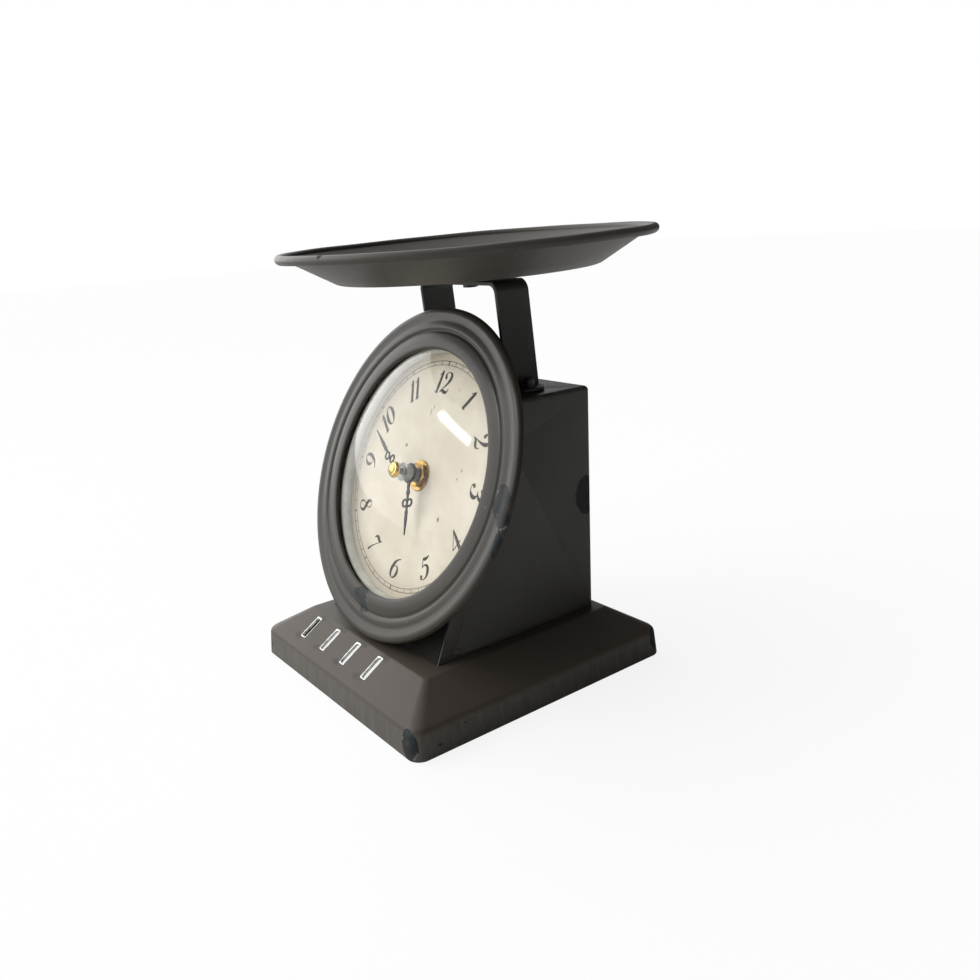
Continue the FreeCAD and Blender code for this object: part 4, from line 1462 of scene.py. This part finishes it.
@dataclass
class Tray:
    """Round dish with a rolled rim.

    Attributes:
        radius: Outside of the rim, in millimetres.
        floor: Radius of the flat floor.
        depth: Floor to rim.
        bead: Radius of the rolled rim.
        sheet: Thickness of the steel.
        tilt: Rear edge high, in degrees.
        centre: Middle of the rim in the row frame.
        dent: Height of the rim's slow unevenness.
    """

    radius: float = 100.5
    floor: float = 70.8
    depth: float = 17.7
    bead: float = 2.4
    sheet: float = 0.9
    tilt: float = 1.6
    centre: Point = (0.0, 4.0, 232.4)
    dent: float = 0.35

    def section(self) -> list[tuple[float, float]]:
        """Closed section of the dish.

        Returns:
            Points from the axis, out under the dish, over the rim and back.
        """
        bead_r, bead_z = self.radius - self.bead, self.depth - self.bead
        under = [(0.0, 0.0), (40.0, 0.0), (self.floor - 2.0, 0.0), (self.floor - 0.6, 0.12),
                 (self.floor + 0.6, 0.55)]
        wall_top = (bead_r - self.bead + self.sheet, bead_z)
        foot = under[-1]
        under += [(foot[0] + (wall_top[0] - foot[0]) * share, foot[1] + (wall_top[1] - foot[1]) * share)
                  for share in (0.25, 0.5, 0.75)]
        curl = arc((bead_r, bead_z), self.bead - self.sheet, 180, -70, 16)
        over = arc((bead_r, bead_z), self.bead, -70, 180, 22)
        above = [(self.floor + 0.3, self.sheet + 0.45), (self.floor - 1.4, self.sheet), (40.0, self.sheet),
                 (0.0, self.sheet)]
        return under + curl + over + above

    def place(self) -> Matrix:
        """Find the tray's tilted frame.

        Returns:
            Matrix from its own millimetres to row metres.
        """
        tilt = Matrix.Rotation(math.radians(self.tilt), 4, "X")
        sunk = Matrix.Translation(Vector((0, 0, -self.depth)))
        return ROW @ Matrix.Translation(Vector(self.centre)) @ tilt @ sunk

    def build(self) -> None:
        """Make and dress the tray."""
        specks = (Chip((0.035, -0.062, 0.2215), (0.0016, 0.0016, 0.0016), 0.8),
                  Chip((0.046, -0.060, 0.2235), (0.0012, 0.0012, 0.0012), 0.8),
                  Chip((0.020, -0.093, 0.2290), (0.0016, 0.0016, 0.0012), 0.8))
        paint = SatinPaint("tray_paint", colour=(0.062, 0.056, 0.050), rough=0.40, chips=specks,
                           bare=(0.010, 0.010, 0.010))
        mesh = lathe(self.section(), WIDE_TURN, self.dent).mesh("tray_dish", self.place(), crease=50.0)
        Piece("tray_dish", "clock_body", "body_paint", paint, ("tray",)).settle(mesh)


@dataclass
class DialHead:
    """Bezel, glass, wall, dial and its print.

    Attributes:
        face: Level of the paper, in millimetres of the dial frame.
        opening: Radius of the bezel's opening.
        bezel: Outside radius of the bezel.
        sheet: Thickness of the pressed steel.
        seat: Radius where the dome meets its rim.
        rise: Height of the dome over its rim.
        glass: Thickness of the glass.
        numeral_radius: Radius of the numerals' middles.
        numeral_height: Height of a numeral.
        slant: Lean of the numerals, in degrees.
        weight: Boldness of the numerals.
        track: Inner and outer radius of the minute track.
        chip_level: Level of the bezel's chips.
        print_gap: Gap between paper and print, which keeps their faces apart.
        print_film: Thickness of the print.
    """

    face: float = -10.0
    opening: float = 67.6
    bezel: float = 90.5
    sheet: float = 0.9
    seat: float = 66.8
    rise: float = 14.0
    glass: float = 1.8
    numeral_radius: float = 52.0
    numeral_height: float = 12.0
    slant: float = 11.0
    weight: float = 1.3
    track: tuple[float, float] = (61.4, 63.6)
    chip_level: float = -0.8
    print_gap: float = 0.01
    print_film: float = 0.04

    def bezel_section(self) -> list[tuple[float, float]]:
        """Closed section of the pressed ring.

        Returns:
            Outer line from the opening to the hem, then the inner line back.
        """
        line = [(self.opening, -1.1), (67.75, -0.1), (68.5, 0.55), (69.8, 0.8), (72.6, 0.7), (75.2, 0.35),
                (76.5, 0.05), (77.7, -0.55), (78.6, -0.1), (79.7, 0.3), (81.2, 0.25), (83.4, 0.0),
                (85.4, 0.25), (87.2, 0.6), (88.8, 0.45), (90.0, -0.2), (self.bezel, -1.2)]
        outer = smooth_path(line, 6)
        inner = []
        for index, (radius, level) in enumerate(outer):
            before, after = outer[max(index - 1, 0)], outer[min(index + 1, len(outer) - 1)]
            along = Vector((after[0] - before[0], after[1] - before[1])).normalized()
            inner.append((radius + along.y * self.sheet, level - along.x * self.sheet))
        least, most = self.opening + self.sheet * 0.9, self.bezel - self.sheet
        inner = [(min(max(radius, least), most), level) for radius, level in inner]
        hem = [(self.bezel, -1.6), (self.bezel + 0.2, -1.8), (self.bezel + 0.2, -2.2),
               (self.bezel, -2.4), (self.bezel - self.sheet, -2.4)]
        return outer + hem + inner[::-1]

    def lens_section(self) -> list[tuple[float, float]]:
        """Closed section of the domed glass.

        Returns:
            Outer dome from the axis, the rim, then the inner dome back.
        """
        radius = (self.seat ** 2 + self.rise ** 2) / (2 * self.rise)
        middle = self.rise - 1.0 - radius
        outside = [self.seat * math.sin(math.pi / 2 * share) for share in np.linspace(0, 1, 27)]
        inner_end = self.seat - 2.0
        inside = [spot * inner_end / self.seat for spot in outside]
        outer = [(spot, middle + math.sqrt(radius ** 2 - spot ** 2)) for spot in outside]
        inner = [(spot, middle + math.sqrt((radius - self.glass) ** 2 - spot ** 2)) for spot in inside]
        rim = [(self.seat + 0.3, -1.7), (self.seat + 0.5, -2.3), (69.2, -2.4), (69.4, -2.6), (69.4, -3.5),
               (69.2, -3.6), (inner_end + 0.3, -3.6), (inner_end, -3.2)]
        return outer + rim + inner[::-1]

    def numeral(self, text: str) -> Form:
        """Draw one number, centred on the origin.

        Args:
            text: The number.

        Returns:
            A very thin plate.
        """
        unit = self.numeral_height / 10.0
        lean = math.tan(math.radians(self.slant))
        advance = [ADVANCE.get(digit, 6.9) for digit in text]
        start = -sum(advance) / 2
        shape = Silhouette((-9.5, -8.0), (9.5, 8.0), 0.11)
        for digit, width in zip(text, advance):
            for stroke in DIGITS[digit]:
                path = [((start + x + lean * (y - 5.0)) * unit, (y - 5.0) * unit,
                         w * unit * self.weight / 2) for x, y, w in smooth_path(stroke, 6)]
                shape.stroke(path)
            start += width
        return slab(shape.loops(), self.print_film)

    def numerals(self) -> Form:
        """Set the twelve numbers round the dial, the lower ones the right way up.

        Returns:
            All numerals in the dial frame.
        """
        form = Form()
        for hour in range(1, 13):
            angle = 30.0 * hour
            turn = angle + 180.0 if 4 <= hour <= 8 else angle
            x, y = clockwise(self.numeral_radius, angle)
            spot = Matrix.Translation(Vector((x, y, self.face + self.print_gap)))
            form.join(self.numeral(str(hour)), spot @ Matrix.Rotation(-math.radians(turn), 4, "Z"))
        return form

    def minute_track(self) -> Form:
        """Two thin circles with a tick for each minute, wider at the hours.

        Returns:
            The track in the dial frame.
        """
        low, high = self.face + self.print_gap, self.face + self.print_gap + self.print_film
        form = Form()
        for radius, line in ((self.track[0], 0.28), (self.track[1], 0.34)):
            ring = [(radius, low), (radius + line, low), (radius + line, high), (radius, high)]
            form.join(lathe(ring, TRACK_TURN))
        reach = self.track[1] - self.track[0]
        sides = [(3, 2, 1, 0), (4, 5, 6, 7), (0, 1, 5, 4), (1, 2, 6, 5), (2, 3, 7, 6), (3, 0, 4, 7)]
        for count, line in ((60, 0.34), (12, 0.75)):
            half = line / 2
            foot = ((0, -half), (reach, -half), (reach, half), (0, half))
            tick = Form().add([(x, y, z) for z in (low, high) for x, y in foot], sides)
            form.join(Repeat(Layout.RING, count, radius=self.track[0]).form(tick, INK))
        return form

    def build(self) -> None:
        """Make and dress the dial head."""
        chips = tuple(Chip(tuple(on_dial(*clockwise(radius, angle), self.chip_level)),
                           tuple(MM * size for size in reach), ragged, DIAL_LEAN)
                      for radius, angle, reach, ragged in BEZEL_CHIPS)
        paint = SatinPaint("bezel_paint", colour=(0.036, 0.031, 0.025), rough=0.34, chips=chips, coat=0.10,
                           bare=(0.018, 0.021, 0.022), glance=0.20)
        ring = lathe(self.bezel_section(), WIDE_TURN).mesh("bezel_pressing", DIAL, crease=45.0)
        Piece("bezel_pressing", "clock_body", "body_paint", paint, ("bezel_ring",)).settle(ring)
        lens = lathe(self.lens_section()).mesh("domed_glass", DIAL, crease=50.0)
        glass = ClearGlass("clear_glass")
        Piece("domed_glass", "clock_body", "lens_glass", glass, ("lens_glass",)).settle(lens)
        dress_nodes(Plastic("pale_wall", colour=(0.74, 0.75, 0.73), rough=0.35, texture=900.0), "wall_ring")
        # The dial pan gets the near-black painted shade of the gap under the bezel.
        dress_nodes(SHADE_BLACK, "dial_pan")
        dress_nodes(STEEL, "pan_screws", "dial_plate")
        marks = tuple(Chip(tuple(on_dial(x, y, self.face)), (across * MM, along * MM, MM), 1.1, DIAL_LEAN)
                      for x, y, across, along in PAPER_MARKS)
        dress_nodes(PrintedPaper("dial_print_paper", marks=marks), "dial_paper")
        for name, form in (("dial_numerals", self.numerals()), ("minute_track", self.minute_track())):
            Piece(name, "clock_body", "hand_black", INK).settle(form.mesh(name, DIAL))


BEZEL_CHIPS = ((71.5, 188.0, (8.5, 4.8, 3.0), 1.0), (75.5, 184.0, (4.5, 4.5, 3.0), 1.0),
               (83.5, 89.0, (6.5, 8.0, 5.0), 1.1), (87.5, 94.0, (3.5, 6.0, 5.0), 1.0),
               (89.8, 102.0, (2.0, 9.0, 4.0), 1.0))
PAPER_MARKS = ((35, 9, 0.8, 1.2), (33, 4, 0.6, 0.9), (26, -19, 1.2, 1.6), (-5, 35, 0.5, 2.4),
               (-3, 38, 0.5, 1.8), (-20, 14, 1.6, 1.2))
ADVANCE = {"1": 4.0}
DIGITS: dict[str, list[list[tuple[float, float, float]]]] = {
    "0": [[(3.3 + 2.35 * math.cos(turn), 5 + 4.75 * math.sin(turn), 0.35 + 1.15 * math.cos(turn) ** 2)
           for turn in [math.radians(15 * step) for step in range(25)]]],
    "1": [[(2.2, 0.3, 1.25), (2.2, 5.0, 1.35), (2.2, 9.6, 1.1)],
          [(0.4, 8.1, 0.3), (1.2, 8.7, 0.4), (2.3, 9.8, 0.5)],
          [(0.9, 0.15, 0.3), (3.5, 0.15, 0.3)]],
    "2": [[(1.7, 7.3, 1.3), (1.2, 8.3, 0.9), (1.9, 9.5, 0.35), (3.4, 9.85, 0.35), (5.2, 8.9, 1.1),
           (5.5, 7.0, 1.4), (4.2, 4.6, 0.9), (2.4, 2.6, 0.45), (0.5, 0.6, 0.3)],
          [(0.5, 0.6, 0.35), (1.7, 1.3, 0.9), (3.4, 0.8, 1.35), (4.9, 0.55, 1.0), (5.9, 1.2, 0.5),
           (6.2, 2.5, 0.3)]],
    "3": [[(1.2, 8.0, 1.3), (1.2, 8.9, 0.7), (2.9, 9.85, 0.35), (4.9, 8.9, 1.0), (4.9, 7.1, 1.2),
           (3.6, 5.6, 0.6), (2.2, 5.3, 0.3)],
          [(2.2, 5.3, 0.3), (4.2, 5.1, 0.5), (5.5, 3.6, 1.3), (5.2, 1.5, 1.3), (3.4, 0.2, 0.4),
           (1.5, 0.4, 0.4), (0.7, 1.5, 0.9), (1.1, 2.1, 1.3)]],
    "4": [[(4.5, 9.8, 0.4), (2.4, 6.3, 0.3), (0.3, 3.0, 0.3)],
          [(0.3, 2.9, 0.4), (3.2, 2.9, 0.4), (6.3, 2.9, 0.4)],
          [(4.5, 9.7, 0.5), (4.5, 6.0, 1.2), (4.5, 0.3, 1.4)],
          [(3.1, 0.15, 0.3), (5.9, 0.15, 0.3)]],
    "5": [[(1.7, 9.3, 0.6), (3.0, 8.9, 1.2), (4.6, 9.2, 0.9), (5.6, 9.9, 0.3)],
          [(1.7, 9.4, 0.4), (1.3, 5.5, 0.35)],
          [(1.3, 5.5, 0.3), (2.9, 6.3, 0.5), (4.9, 5.4, 1.1), (5.5, 3.2, 1.4), (4.6, 1.0, 0.8),
           (2.8, 0.2, 0.35), (1.2, 0.6, 0.5), (1.0, 1.7, 1.2)]],
    "6": [[(5.3, 9.5, 0.3), (3.7, 9.1, 0.5), (1.8, 7.3, 1.1), (0.8, 4.4, 1.4), (1.2, 1.7, 1.1),
           (3.1, 0.2, 0.35), (5.0, 1.4, 1.0), (5.5, 3.4, 1.3), (4.7, 5.3, 0.8), (3.3, 6.0, 0.3),
           (1.9, 5.3, 0.3), (1.0, 3.9, 0.35)]],
    "7": [[(0.5, 7.4, 0.3), (0.9, 8.6, 0.7), (2.2, 9.3, 1.3), (3.9, 8.9, 1.3), (5.2, 9.0, 0.8),
           (5.9, 9.9, 0.3)],
          [(5.8, 9.7, 0.3), (4.3, 6.6, 0.32), (2.9, 3.4, 0.5), (2.2, 0.3, 0.9)]],
    "8": [[(4.8, 8.5, 0.4), (3.4, 9.85, 0.3), (1.7, 8.9, 0.9), (2.0, 6.8, 1.4), (3.8, 4.8, 1.5),
           (5.4, 2.8, 1.3), (4.6, 0.8, 0.7), (3.1, 0.15, 0.3), (1.2, 1.0, 0.5), (0.6, 2.5, 0.6),
           (1.5, 4.2, 0.4), (3.3, 5.3, 0.3), (4.8, 6.8, 0.35), (4.8, 8.5, 0.4)]],
}
DIGITS["9"] = [[(6.3 - x, 10.0 - y, w) for x, y, w in stroke] for stroke in DIGITS["6"]]


@dataclass
class Hands:
    """Pierced hands and the brass stack on the centre.

    Attributes:
        hour_level: Underside of the hour hand, in the dial frame.
        hour_angle: Degrees clockwise from the 12.
        hour_length: Length of the hour hand.
        minute_level: Underside of the minute hand.
        minute_angle: Degrees clockwise from the 12.
        minute_length: Length of the minute hand.
        droop: Bend of the minute hand's blade towards the dial, in degrees.
        thick: Thickness of the hands.
        edge: Width of their eased edges.
        hour_bore: Radius of the hole in the hour hand's disc.
        minute_bore: Radius of the hole in the minute hand's boss.
    """

    hour_level: float = -3.6
    hour_angle: float = 163.5
    hour_length: float = 33.8
    minute_level: float = 5.3
    minute_angle: float = 296.6
    minute_length: float = 39.7
    droop: float = 6.3
    thick: float = 0.6
    edge: float = 0.08
    hour_bore: float = 2.62
    minute_bore: float = 1.02

    def hour_blade(self) -> Form:
        """Hour hand pointing up: disc, bead, two side rings, bead and spear.

        Returns:
            The pierced plate.
        """
        shape = Silhouette((-8.0, -7.0), (8.0, self.hour_length + 1.0), CELL)
        shape.disc(0, 0, 5.6)
        shape.stroke([(0, 5.0, 1.3), (0, 7.5, 0.95), (0, 9.5, 0.9), (0, 13.6, 0.7)], MELT)
        shape.disc(0, 10.6, 1.5, MELT)
        for side in (-1, 1):
            shape.disc(side * 2.1, 16.2, 2.45, 0.2)
        shape.disc(0, 21.5, 1.3, MELT)
        shape.stroke([(0, 17.8, 0.7), (0, 22.5, 0.8), (0, 25.0, 1.15), (0, self.hour_length - 0.4, 0.2)],
                     MELT)
        for side in (-1, 1):
            shape.hole(side * 2.05, 16.2, 1.35)
        shape.hole(0, 0, self.hour_bore)
        return slab(shape.loops(), self.thick, self.edge)

    def minute_blade(self) -> Form:
        """Minute hand pointing up: boss, two rings on alternate sides, bead and spear.

        Returns:
            The pierced and bent plate.
        """
        shape = Silhouette((-6.0, -4.0), (6.0, self.minute_length + 1.0), CELL)
        shape.disc(0, 0, 3.0)
        shape.stroke([(0, 2.5, 1.1), (0, 5.0, 0.9), (0, 20.0, 0.75)], MELT)
        rings = ((9.2, 1.0), (15.2, -1.0))
        for at, side in rings:
            shape.disc(side, at, 2.5, 0.25)
        shape.disc(0, 21.0, 1.25, MELT)
        shape.stroke([(0, 20.0, 0.75), (0, 22.0, 0.8), (0, 24.5, 1.1), (0, self.minute_length - 0.4, 0.2)],
                     MELT)
        for at, side in rings:
            shape.hole(side, at, 1.45)
        shape.hole(0, 0, self.minute_bore)
        plate = slab(shape.loops(), self.thick, self.edge)
        bend = math.tan(math.radians(self.droop))
        plate.points = [(x, y, z - bend * max(0.0, y - 2.6)) for x, y, z in plate.points]
        return plate

    def cap(self) -> Form:
        """Round cap nut with a stepped, knurled rim.

        Returns:
            The nut in the dial frame.
        """
        low = self.minute_level + self.thick
        line = ((0.0, 3.4), (1.4, 3.35), (2.3, 3.05), (2.7, 2.6), (3.5, 2.45), (3.9, 2.1), (4.1, 1.5),
                (4.4, 1.2), (4.4, 0.25), (4.2, 0.0), (1.05, 0.0), (1.05, 1.9), (0.0, 2.0))
        body = lathe([(radius, low + level) for radius, level in line], SMALL_TURN)
        wedge = ((-0.25, -0.12), (0.06, 0), (-0.25, 0.12))
        rib = Form().add([(x, y, z) for z in (low + 0.2, low + 1.15) for x, y in wedge],
                         [(0, 2, 1), (3, 4, 5), (0, 1, 4, 3), (1, 2, 5, 4), (2, 0, 3, 5)])
        return body.join(Repeat(Layout.RING, 36, radius=4.38).form(rib, BRASS))

    def bush_thread(self) -> Form:
        """Thread rings on the grey centre bush.

        Returns:
            The rings in the dial frame.
        """
        ring = lathe([(3.9, 0.0), (4.06, 0.1), (4.06, 0.16), (3.9, 0.26)], 48)
        lowest = Form().join(ring, Matrix.Translation((0, 0, -6.9)))
        return Repeat(Layout.ROW, 7, step=(0.0, 0.0, 0.32)).form(lowest, GREY)

    def build(self) -> None:
        """Make and dress the hands and the stack."""
        for name, body, node, blade, level, angle in (
                ("hour_pointer", "hour_works", "hour_hand", self.hour_blade(), self.hour_level,
                 self.hour_angle),
                ("minute_pointer", "minute_works", "minute_hand", self.minute_blade(), self.minute_level,
                 self.minute_angle)):
            place = DIAL @ Matrix.Translation((0, 0, level)) @ Matrix.Rotation(-math.radians(angle), 4, "Z")
            Piece(name, body, "hand_black", BLACK, (node,)).settle(blade.mesh(name, place))
        washer = lathe(WASHER_LINE, 96)
        collet = lathe(COLLET_LINE, SMALL_TURN)
        for piece, form in (
                (Piece("cap_knob", "minute_works", "brass", BRASS, ("cap_nut",)), self.cap()),
                (Piece("washer_disc", "clock_body", "brass", AGED_BRASS, ("brass_washer",)), washer),
                (Piece("collet_turned", "hour_works", "collet_grey", GREY, ("hour_collet",)), collet),
                (Piece("bush_thread", "clock_body", "collet_grey", GREY), self.bush_thread())):
            piece.settle(form.mesh(piece.name, DIAL))
        dress_nodes(AGED_BRASS, "brass_nut")
        dress_nodes(GREY, "centre_bush", "minute_arbor")


WASHER_LINE = [(4.1, -10.0), (8.3, -10.0), (8.6, -9.8), (8.6, -9.45), (8.3, -9.2), (4.1, -9.2)]
COLLET_LINE = [(2.62, -3.0), (4.3, -3.0), (4.5, -2.8), (4.5, 1.2), (5.0, 1.25), (5.1, 1.4), (5.1, 1.7),
               (4.9, 1.8), (2.62, 1.8)]


@dataclass
class Movement:
    """Quartz movement behind the dial.

    Attributes:
        turns: Windings shown on the coil.
        wire: Half thickness of the wire, in millimetres.
        coil_low: Lowest corner of the winding in the dial frame.
        coil_high: Its highest corner.
    """

    turns: int = 40
    wire: float = 0.13
    coil_low: Point = (6.2, 19.6, -27.35)
    coil_high: Point = (17.8, 26.35, -22.45)

    def coil_winding(self) -> Form:
        """Wire turns over the coil, one small ring each.

        Returns:
            The winding in the dial frame.
        """
        low, high = Vector(self.coil_low), Vector(self.coil_high)
        pitch = (high.x - low.x) / self.turns
        corners = [(low.y, low.z), (high.y, low.z), (high.y, high.z), (low.y, high.z)]
        points: list[Point] = []
        for y, z in corners:
            away = Vector((0.0, y - (low.y + high.y) / 2, z - (low.z + high.z) / 2)).normalized()
            for angle in (0, 90, 180, 270):
                turn = math.radians(angle)
                spot = Vector((low.x, y, z)) + away * self.wire * math.cos(turn)
                points.append((spot.x + self.wire * math.sin(turn), spot.y, spot.z))
        faces = [(4 * i + k, 4 * i + (k + 1) % 4, 4 * ((i + 1) % 4) + (k + 1) % 4, 4 * ((i + 1) % 4) + k)
                 for i in range(4) for k in range(4)]
        loop = Form().add(points, faces)
        return Repeat(Layout.ROW, self.turns, step=(pitch, 0.0, 0.0)).form(loop, COPPER)

    def build(self) -> None:
        """Dress the movement."""
        dress_nodes(Plastic("case_plastic", colour=(0.018, 0.018, 0.019), rough=0.5), "movement_case",
                    "movement_cover")
        dress_nodes(Plastic("gear_plastic", colour=(0.62, 0.61, 0.56), rough=0.4, relief=0.00003),
                    "hour_wheel", "centre_wheel", "motion_wheel", "third_wheel", "seconds_wheel",
                    "step_wheel", "rotor", "setting_knob")
        dress_nodes(STEEL, "stator", "quartz_can", "contact_positive", "contact_negative")
        dress_nodes(COPPER, "coil")
        dress_nodes(Plastic("board_green", colour=(0.02, 0.11, 0.05), rough=0.3), "circuit_board")
        dress_nodes(Plastic("black_rubber", colour=(0.016, 0.016, 0.016), rough=0.75, texture=900.0),
                    "rubber_washer")
        dress_nodes(Plastic("battery_sleeve", colour=(0.03, 0.045, 0.06), rough=0.25, relief=0.00001),
                    "battery")
        Piece("coil_winding", "clock_body", "copper_wire", COPPER).settle(
            self.coil_winding().mesh("coil_winding", DIAL))


# ------------------------------------------------------------------ studio
@dataclass(frozen=True)
class FloorFinish(Finish):
    """Pale floor that stays nearly white to the eye and gives little light back.

    Attributes:
        bounce: Its colour for every other ray.
        lift: Share of plain white that the eye sees.
    """

    bounce: Colour = (0.70, 0.70, 0.68)
    lift: float = 0.86

    def dress(self, graph: Graph) -> None:
        """Build the shader.

        Args:
            graph: Material's graph.
        """
        seen = graph.node("ShaderNodeLightPath", output="Is Camera Ray")
        grain = graph.noise(graph.place(), 9.0, 3.0)
        pale = graph.mix(grain, (0.88, 0.88, 0.88), (0.92, 0.92, 0.92))
        matt = graph.principled(Base_Color=graph.mix(seen, self.bounce, pale), Roughness=0.95)
        glow = graph.node("ShaderNodeEmission", {}, {"Color": WHITE, "Strength": 1.0})
        graph.surface(graph.node("ShaderNodeMixShader", {}, {0: seen * self.lift, 1: matt, 2: glow}))


@dataclass(frozen=True)
class Lamp:
    """A flat soft lamp.

    Attributes:
        name: Name of the lamp.
        bearing: Degrees round from the front, positive to the right.
        height: Degrees over the horizon.
        away: Distance from the clock, in metres.
        size: Width and height, in metres.
        power: Power in watts.
        tint: Colour.
    """

    name: str
    bearing: float
    height: float
    away: float
    size: tuple[float, float]
    power: float
    tint: Colour = (1.0, 1.0, 1.0)

    def hang(self, target: Vector) -> None:
        """Hang the lamp and aim it.

        Args:
            target: Point that it faces.
        """
        data = bpy.data.lights.new(self.name, "AREA")
        data.shape = "RECTANGLE"
        data.size, data.size_y = self.size
        data.energy = self.power
        data.color = self.tint
        lamp = linked(self.name, data)
        turn, rise = math.radians(self.bearing), math.radians(self.height)
        away = Vector((math.sin(turn) * math.cos(rise), -math.cos(turn) * math.cos(rise), math.sin(rise)))
        lamp.location = target + away * self.away
        lamp.rotation_mode = "QUATERNION"
        lamp.rotation_quaternion = away.to_track_quat("Z", "Y")


@dataclass
class Studio:
    """Floor, light and camera.

    Attributes:
        bearing: Camera's turn round the clock, in degrees.
        pitch: Camera's look down.
        roll: Camera's roll.
        spot: Camera's place, in metres.
        lens: Focal length for a 36 mm wide frame.
        key_bearing: Degrees from the front to the bright side of the surroundings.
        key_height: Degrees over the horizon of that side.
        key_strength: Its strength.
        fill: Strength of the dark side.
        key_spread: Where the bright side starts and is full, as a cosine from its middle.
        floor_half: Half the side of the floor, in metres.
        target: Point that the lamps face.
    """

    bearing: float = 53.697
    pitch: float = 16.553
    roll: float = -3.665
    spot: Point = (0.4025, -0.2868, 0.2400)
    lens: float = 33.17
    key_bearing: float = -58.0
    key_height: float = 20.0
    key_strength: float = 2.7
    fill: float = 0.09
    key_spread: tuple[float, float] = (0.12, 0.95)
    floor_half: float = 6.0
    target: Point = (0.0, 0.0, 0.12)

    def camera(self) -> None:
        """Set up the camera."""
        turn, down, roll = (math.radians(v) for v in (self.bearing, self.pitch, self.roll))
        ahead = Vector((-math.sin(turn) * math.cos(down), math.cos(turn) * math.cos(down), -math.sin(down)))
        right = Vector((math.cos(turn), math.sin(turn), 0.0))
        up = right.cross(ahead)
        x_axis = right * math.cos(roll) + up * math.sin(roll)
        y_axis = up * math.cos(roll) - right * math.sin(roll)
        data = bpy.data.cameras.new("camera")
        data.lens = self.lens
        data.sensor_width = 36.0
        data.clip_start = 0.01
        camera = linked("camera", data)
        camera.matrix_world = (Matrix.Translation(self.spot)
                               @ Matrix((x_axis, y_axis, -ahead)).transposed().to_4x4())
        bpy.context.scene.camera = camera

    def floor(self) -> None:
        """Lay the floor."""
        half = self.floor_half
        corners = [(-half, -half, 0), (half, -half, 0), (half, half, 0), (-half, half, 0)]
        mesh = bpy.data.meshes.new("floor")
        mesh.from_pydata(corners, [], [(0, 1, 2, 3)])
        floor = linked("floor", mesh)
        mesh.materials.append(FloorFinish("pale_floor").material())

    def sky(self) -> None:
        """Set the plain surroundings: white to the eye, softer as a light."""
        world = bpy.data.worlds.new("surroundings")
        world.use_nodes = True
        graph = Graph(world.node_tree)
        seen = graph.node("ShaderNodeLightPath", output="Is Camera Ray")
        turn, rise = math.radians(self.key_bearing), math.radians(self.key_height)
        key = (math.sin(turn) * math.cos(rise), -math.cos(turn) * math.cos(rise), math.sin(rise))
        toward = graph.node("ShaderNodeVectorMath", {"operation": "DOT_PRODUCT"},
                            {0: graph.node("ShaderNodeTexCoord", output="Generated"), 1: key},
                            output="Value")
        strength = self.fill + toward.step(*self.key_spread) * self.key_strength
        soft = graph.node("ShaderNodeBackground", {}, {"Color": WHITE, "Strength": strength})
        white = graph.node("ShaderNodeBackground", {}, {"Color": WHITE, "Strength": 1.0})
        both = graph.node("ShaderNodeMixShader", {}, {0: seen, 1: soft, 2: white})
        graph.raw("ShaderNodeOutputWorld", {}, {"Surface": both})
        bpy.context.scene.world = world

    def build(self) -> None:
        """Set up the whole studio."""
        self.camera()
        self.floor()
        self.sky()
        for lamp in (Lamp("window", -31.0, 37.0, 1.6, (0.62, 0.08), 4.0),
                     Lamp("right_glint", 68.0, 48.0, 2.0, (0.12, 0.9), 0.35)):
            lamp.hang(Vector(self.target))
        view = bpy.context.scene.view_settings
        view.view_transform = "Standard"
        view.look = "None"
        LOG.info("studio ready")


def main() -> None:
    """Build every sub-assembly in order."""
    logging.basicConfig(level=logging.INFO, format="%(message)s")
    for assembly in (Studio(), BasePan(), Housing(), Tray(), DialHead(), Hands(), Movement()):
        LOG.info("building %s", type(assembly).__name__)
        assembly.build()


if __name__ == "__main__":
    main()
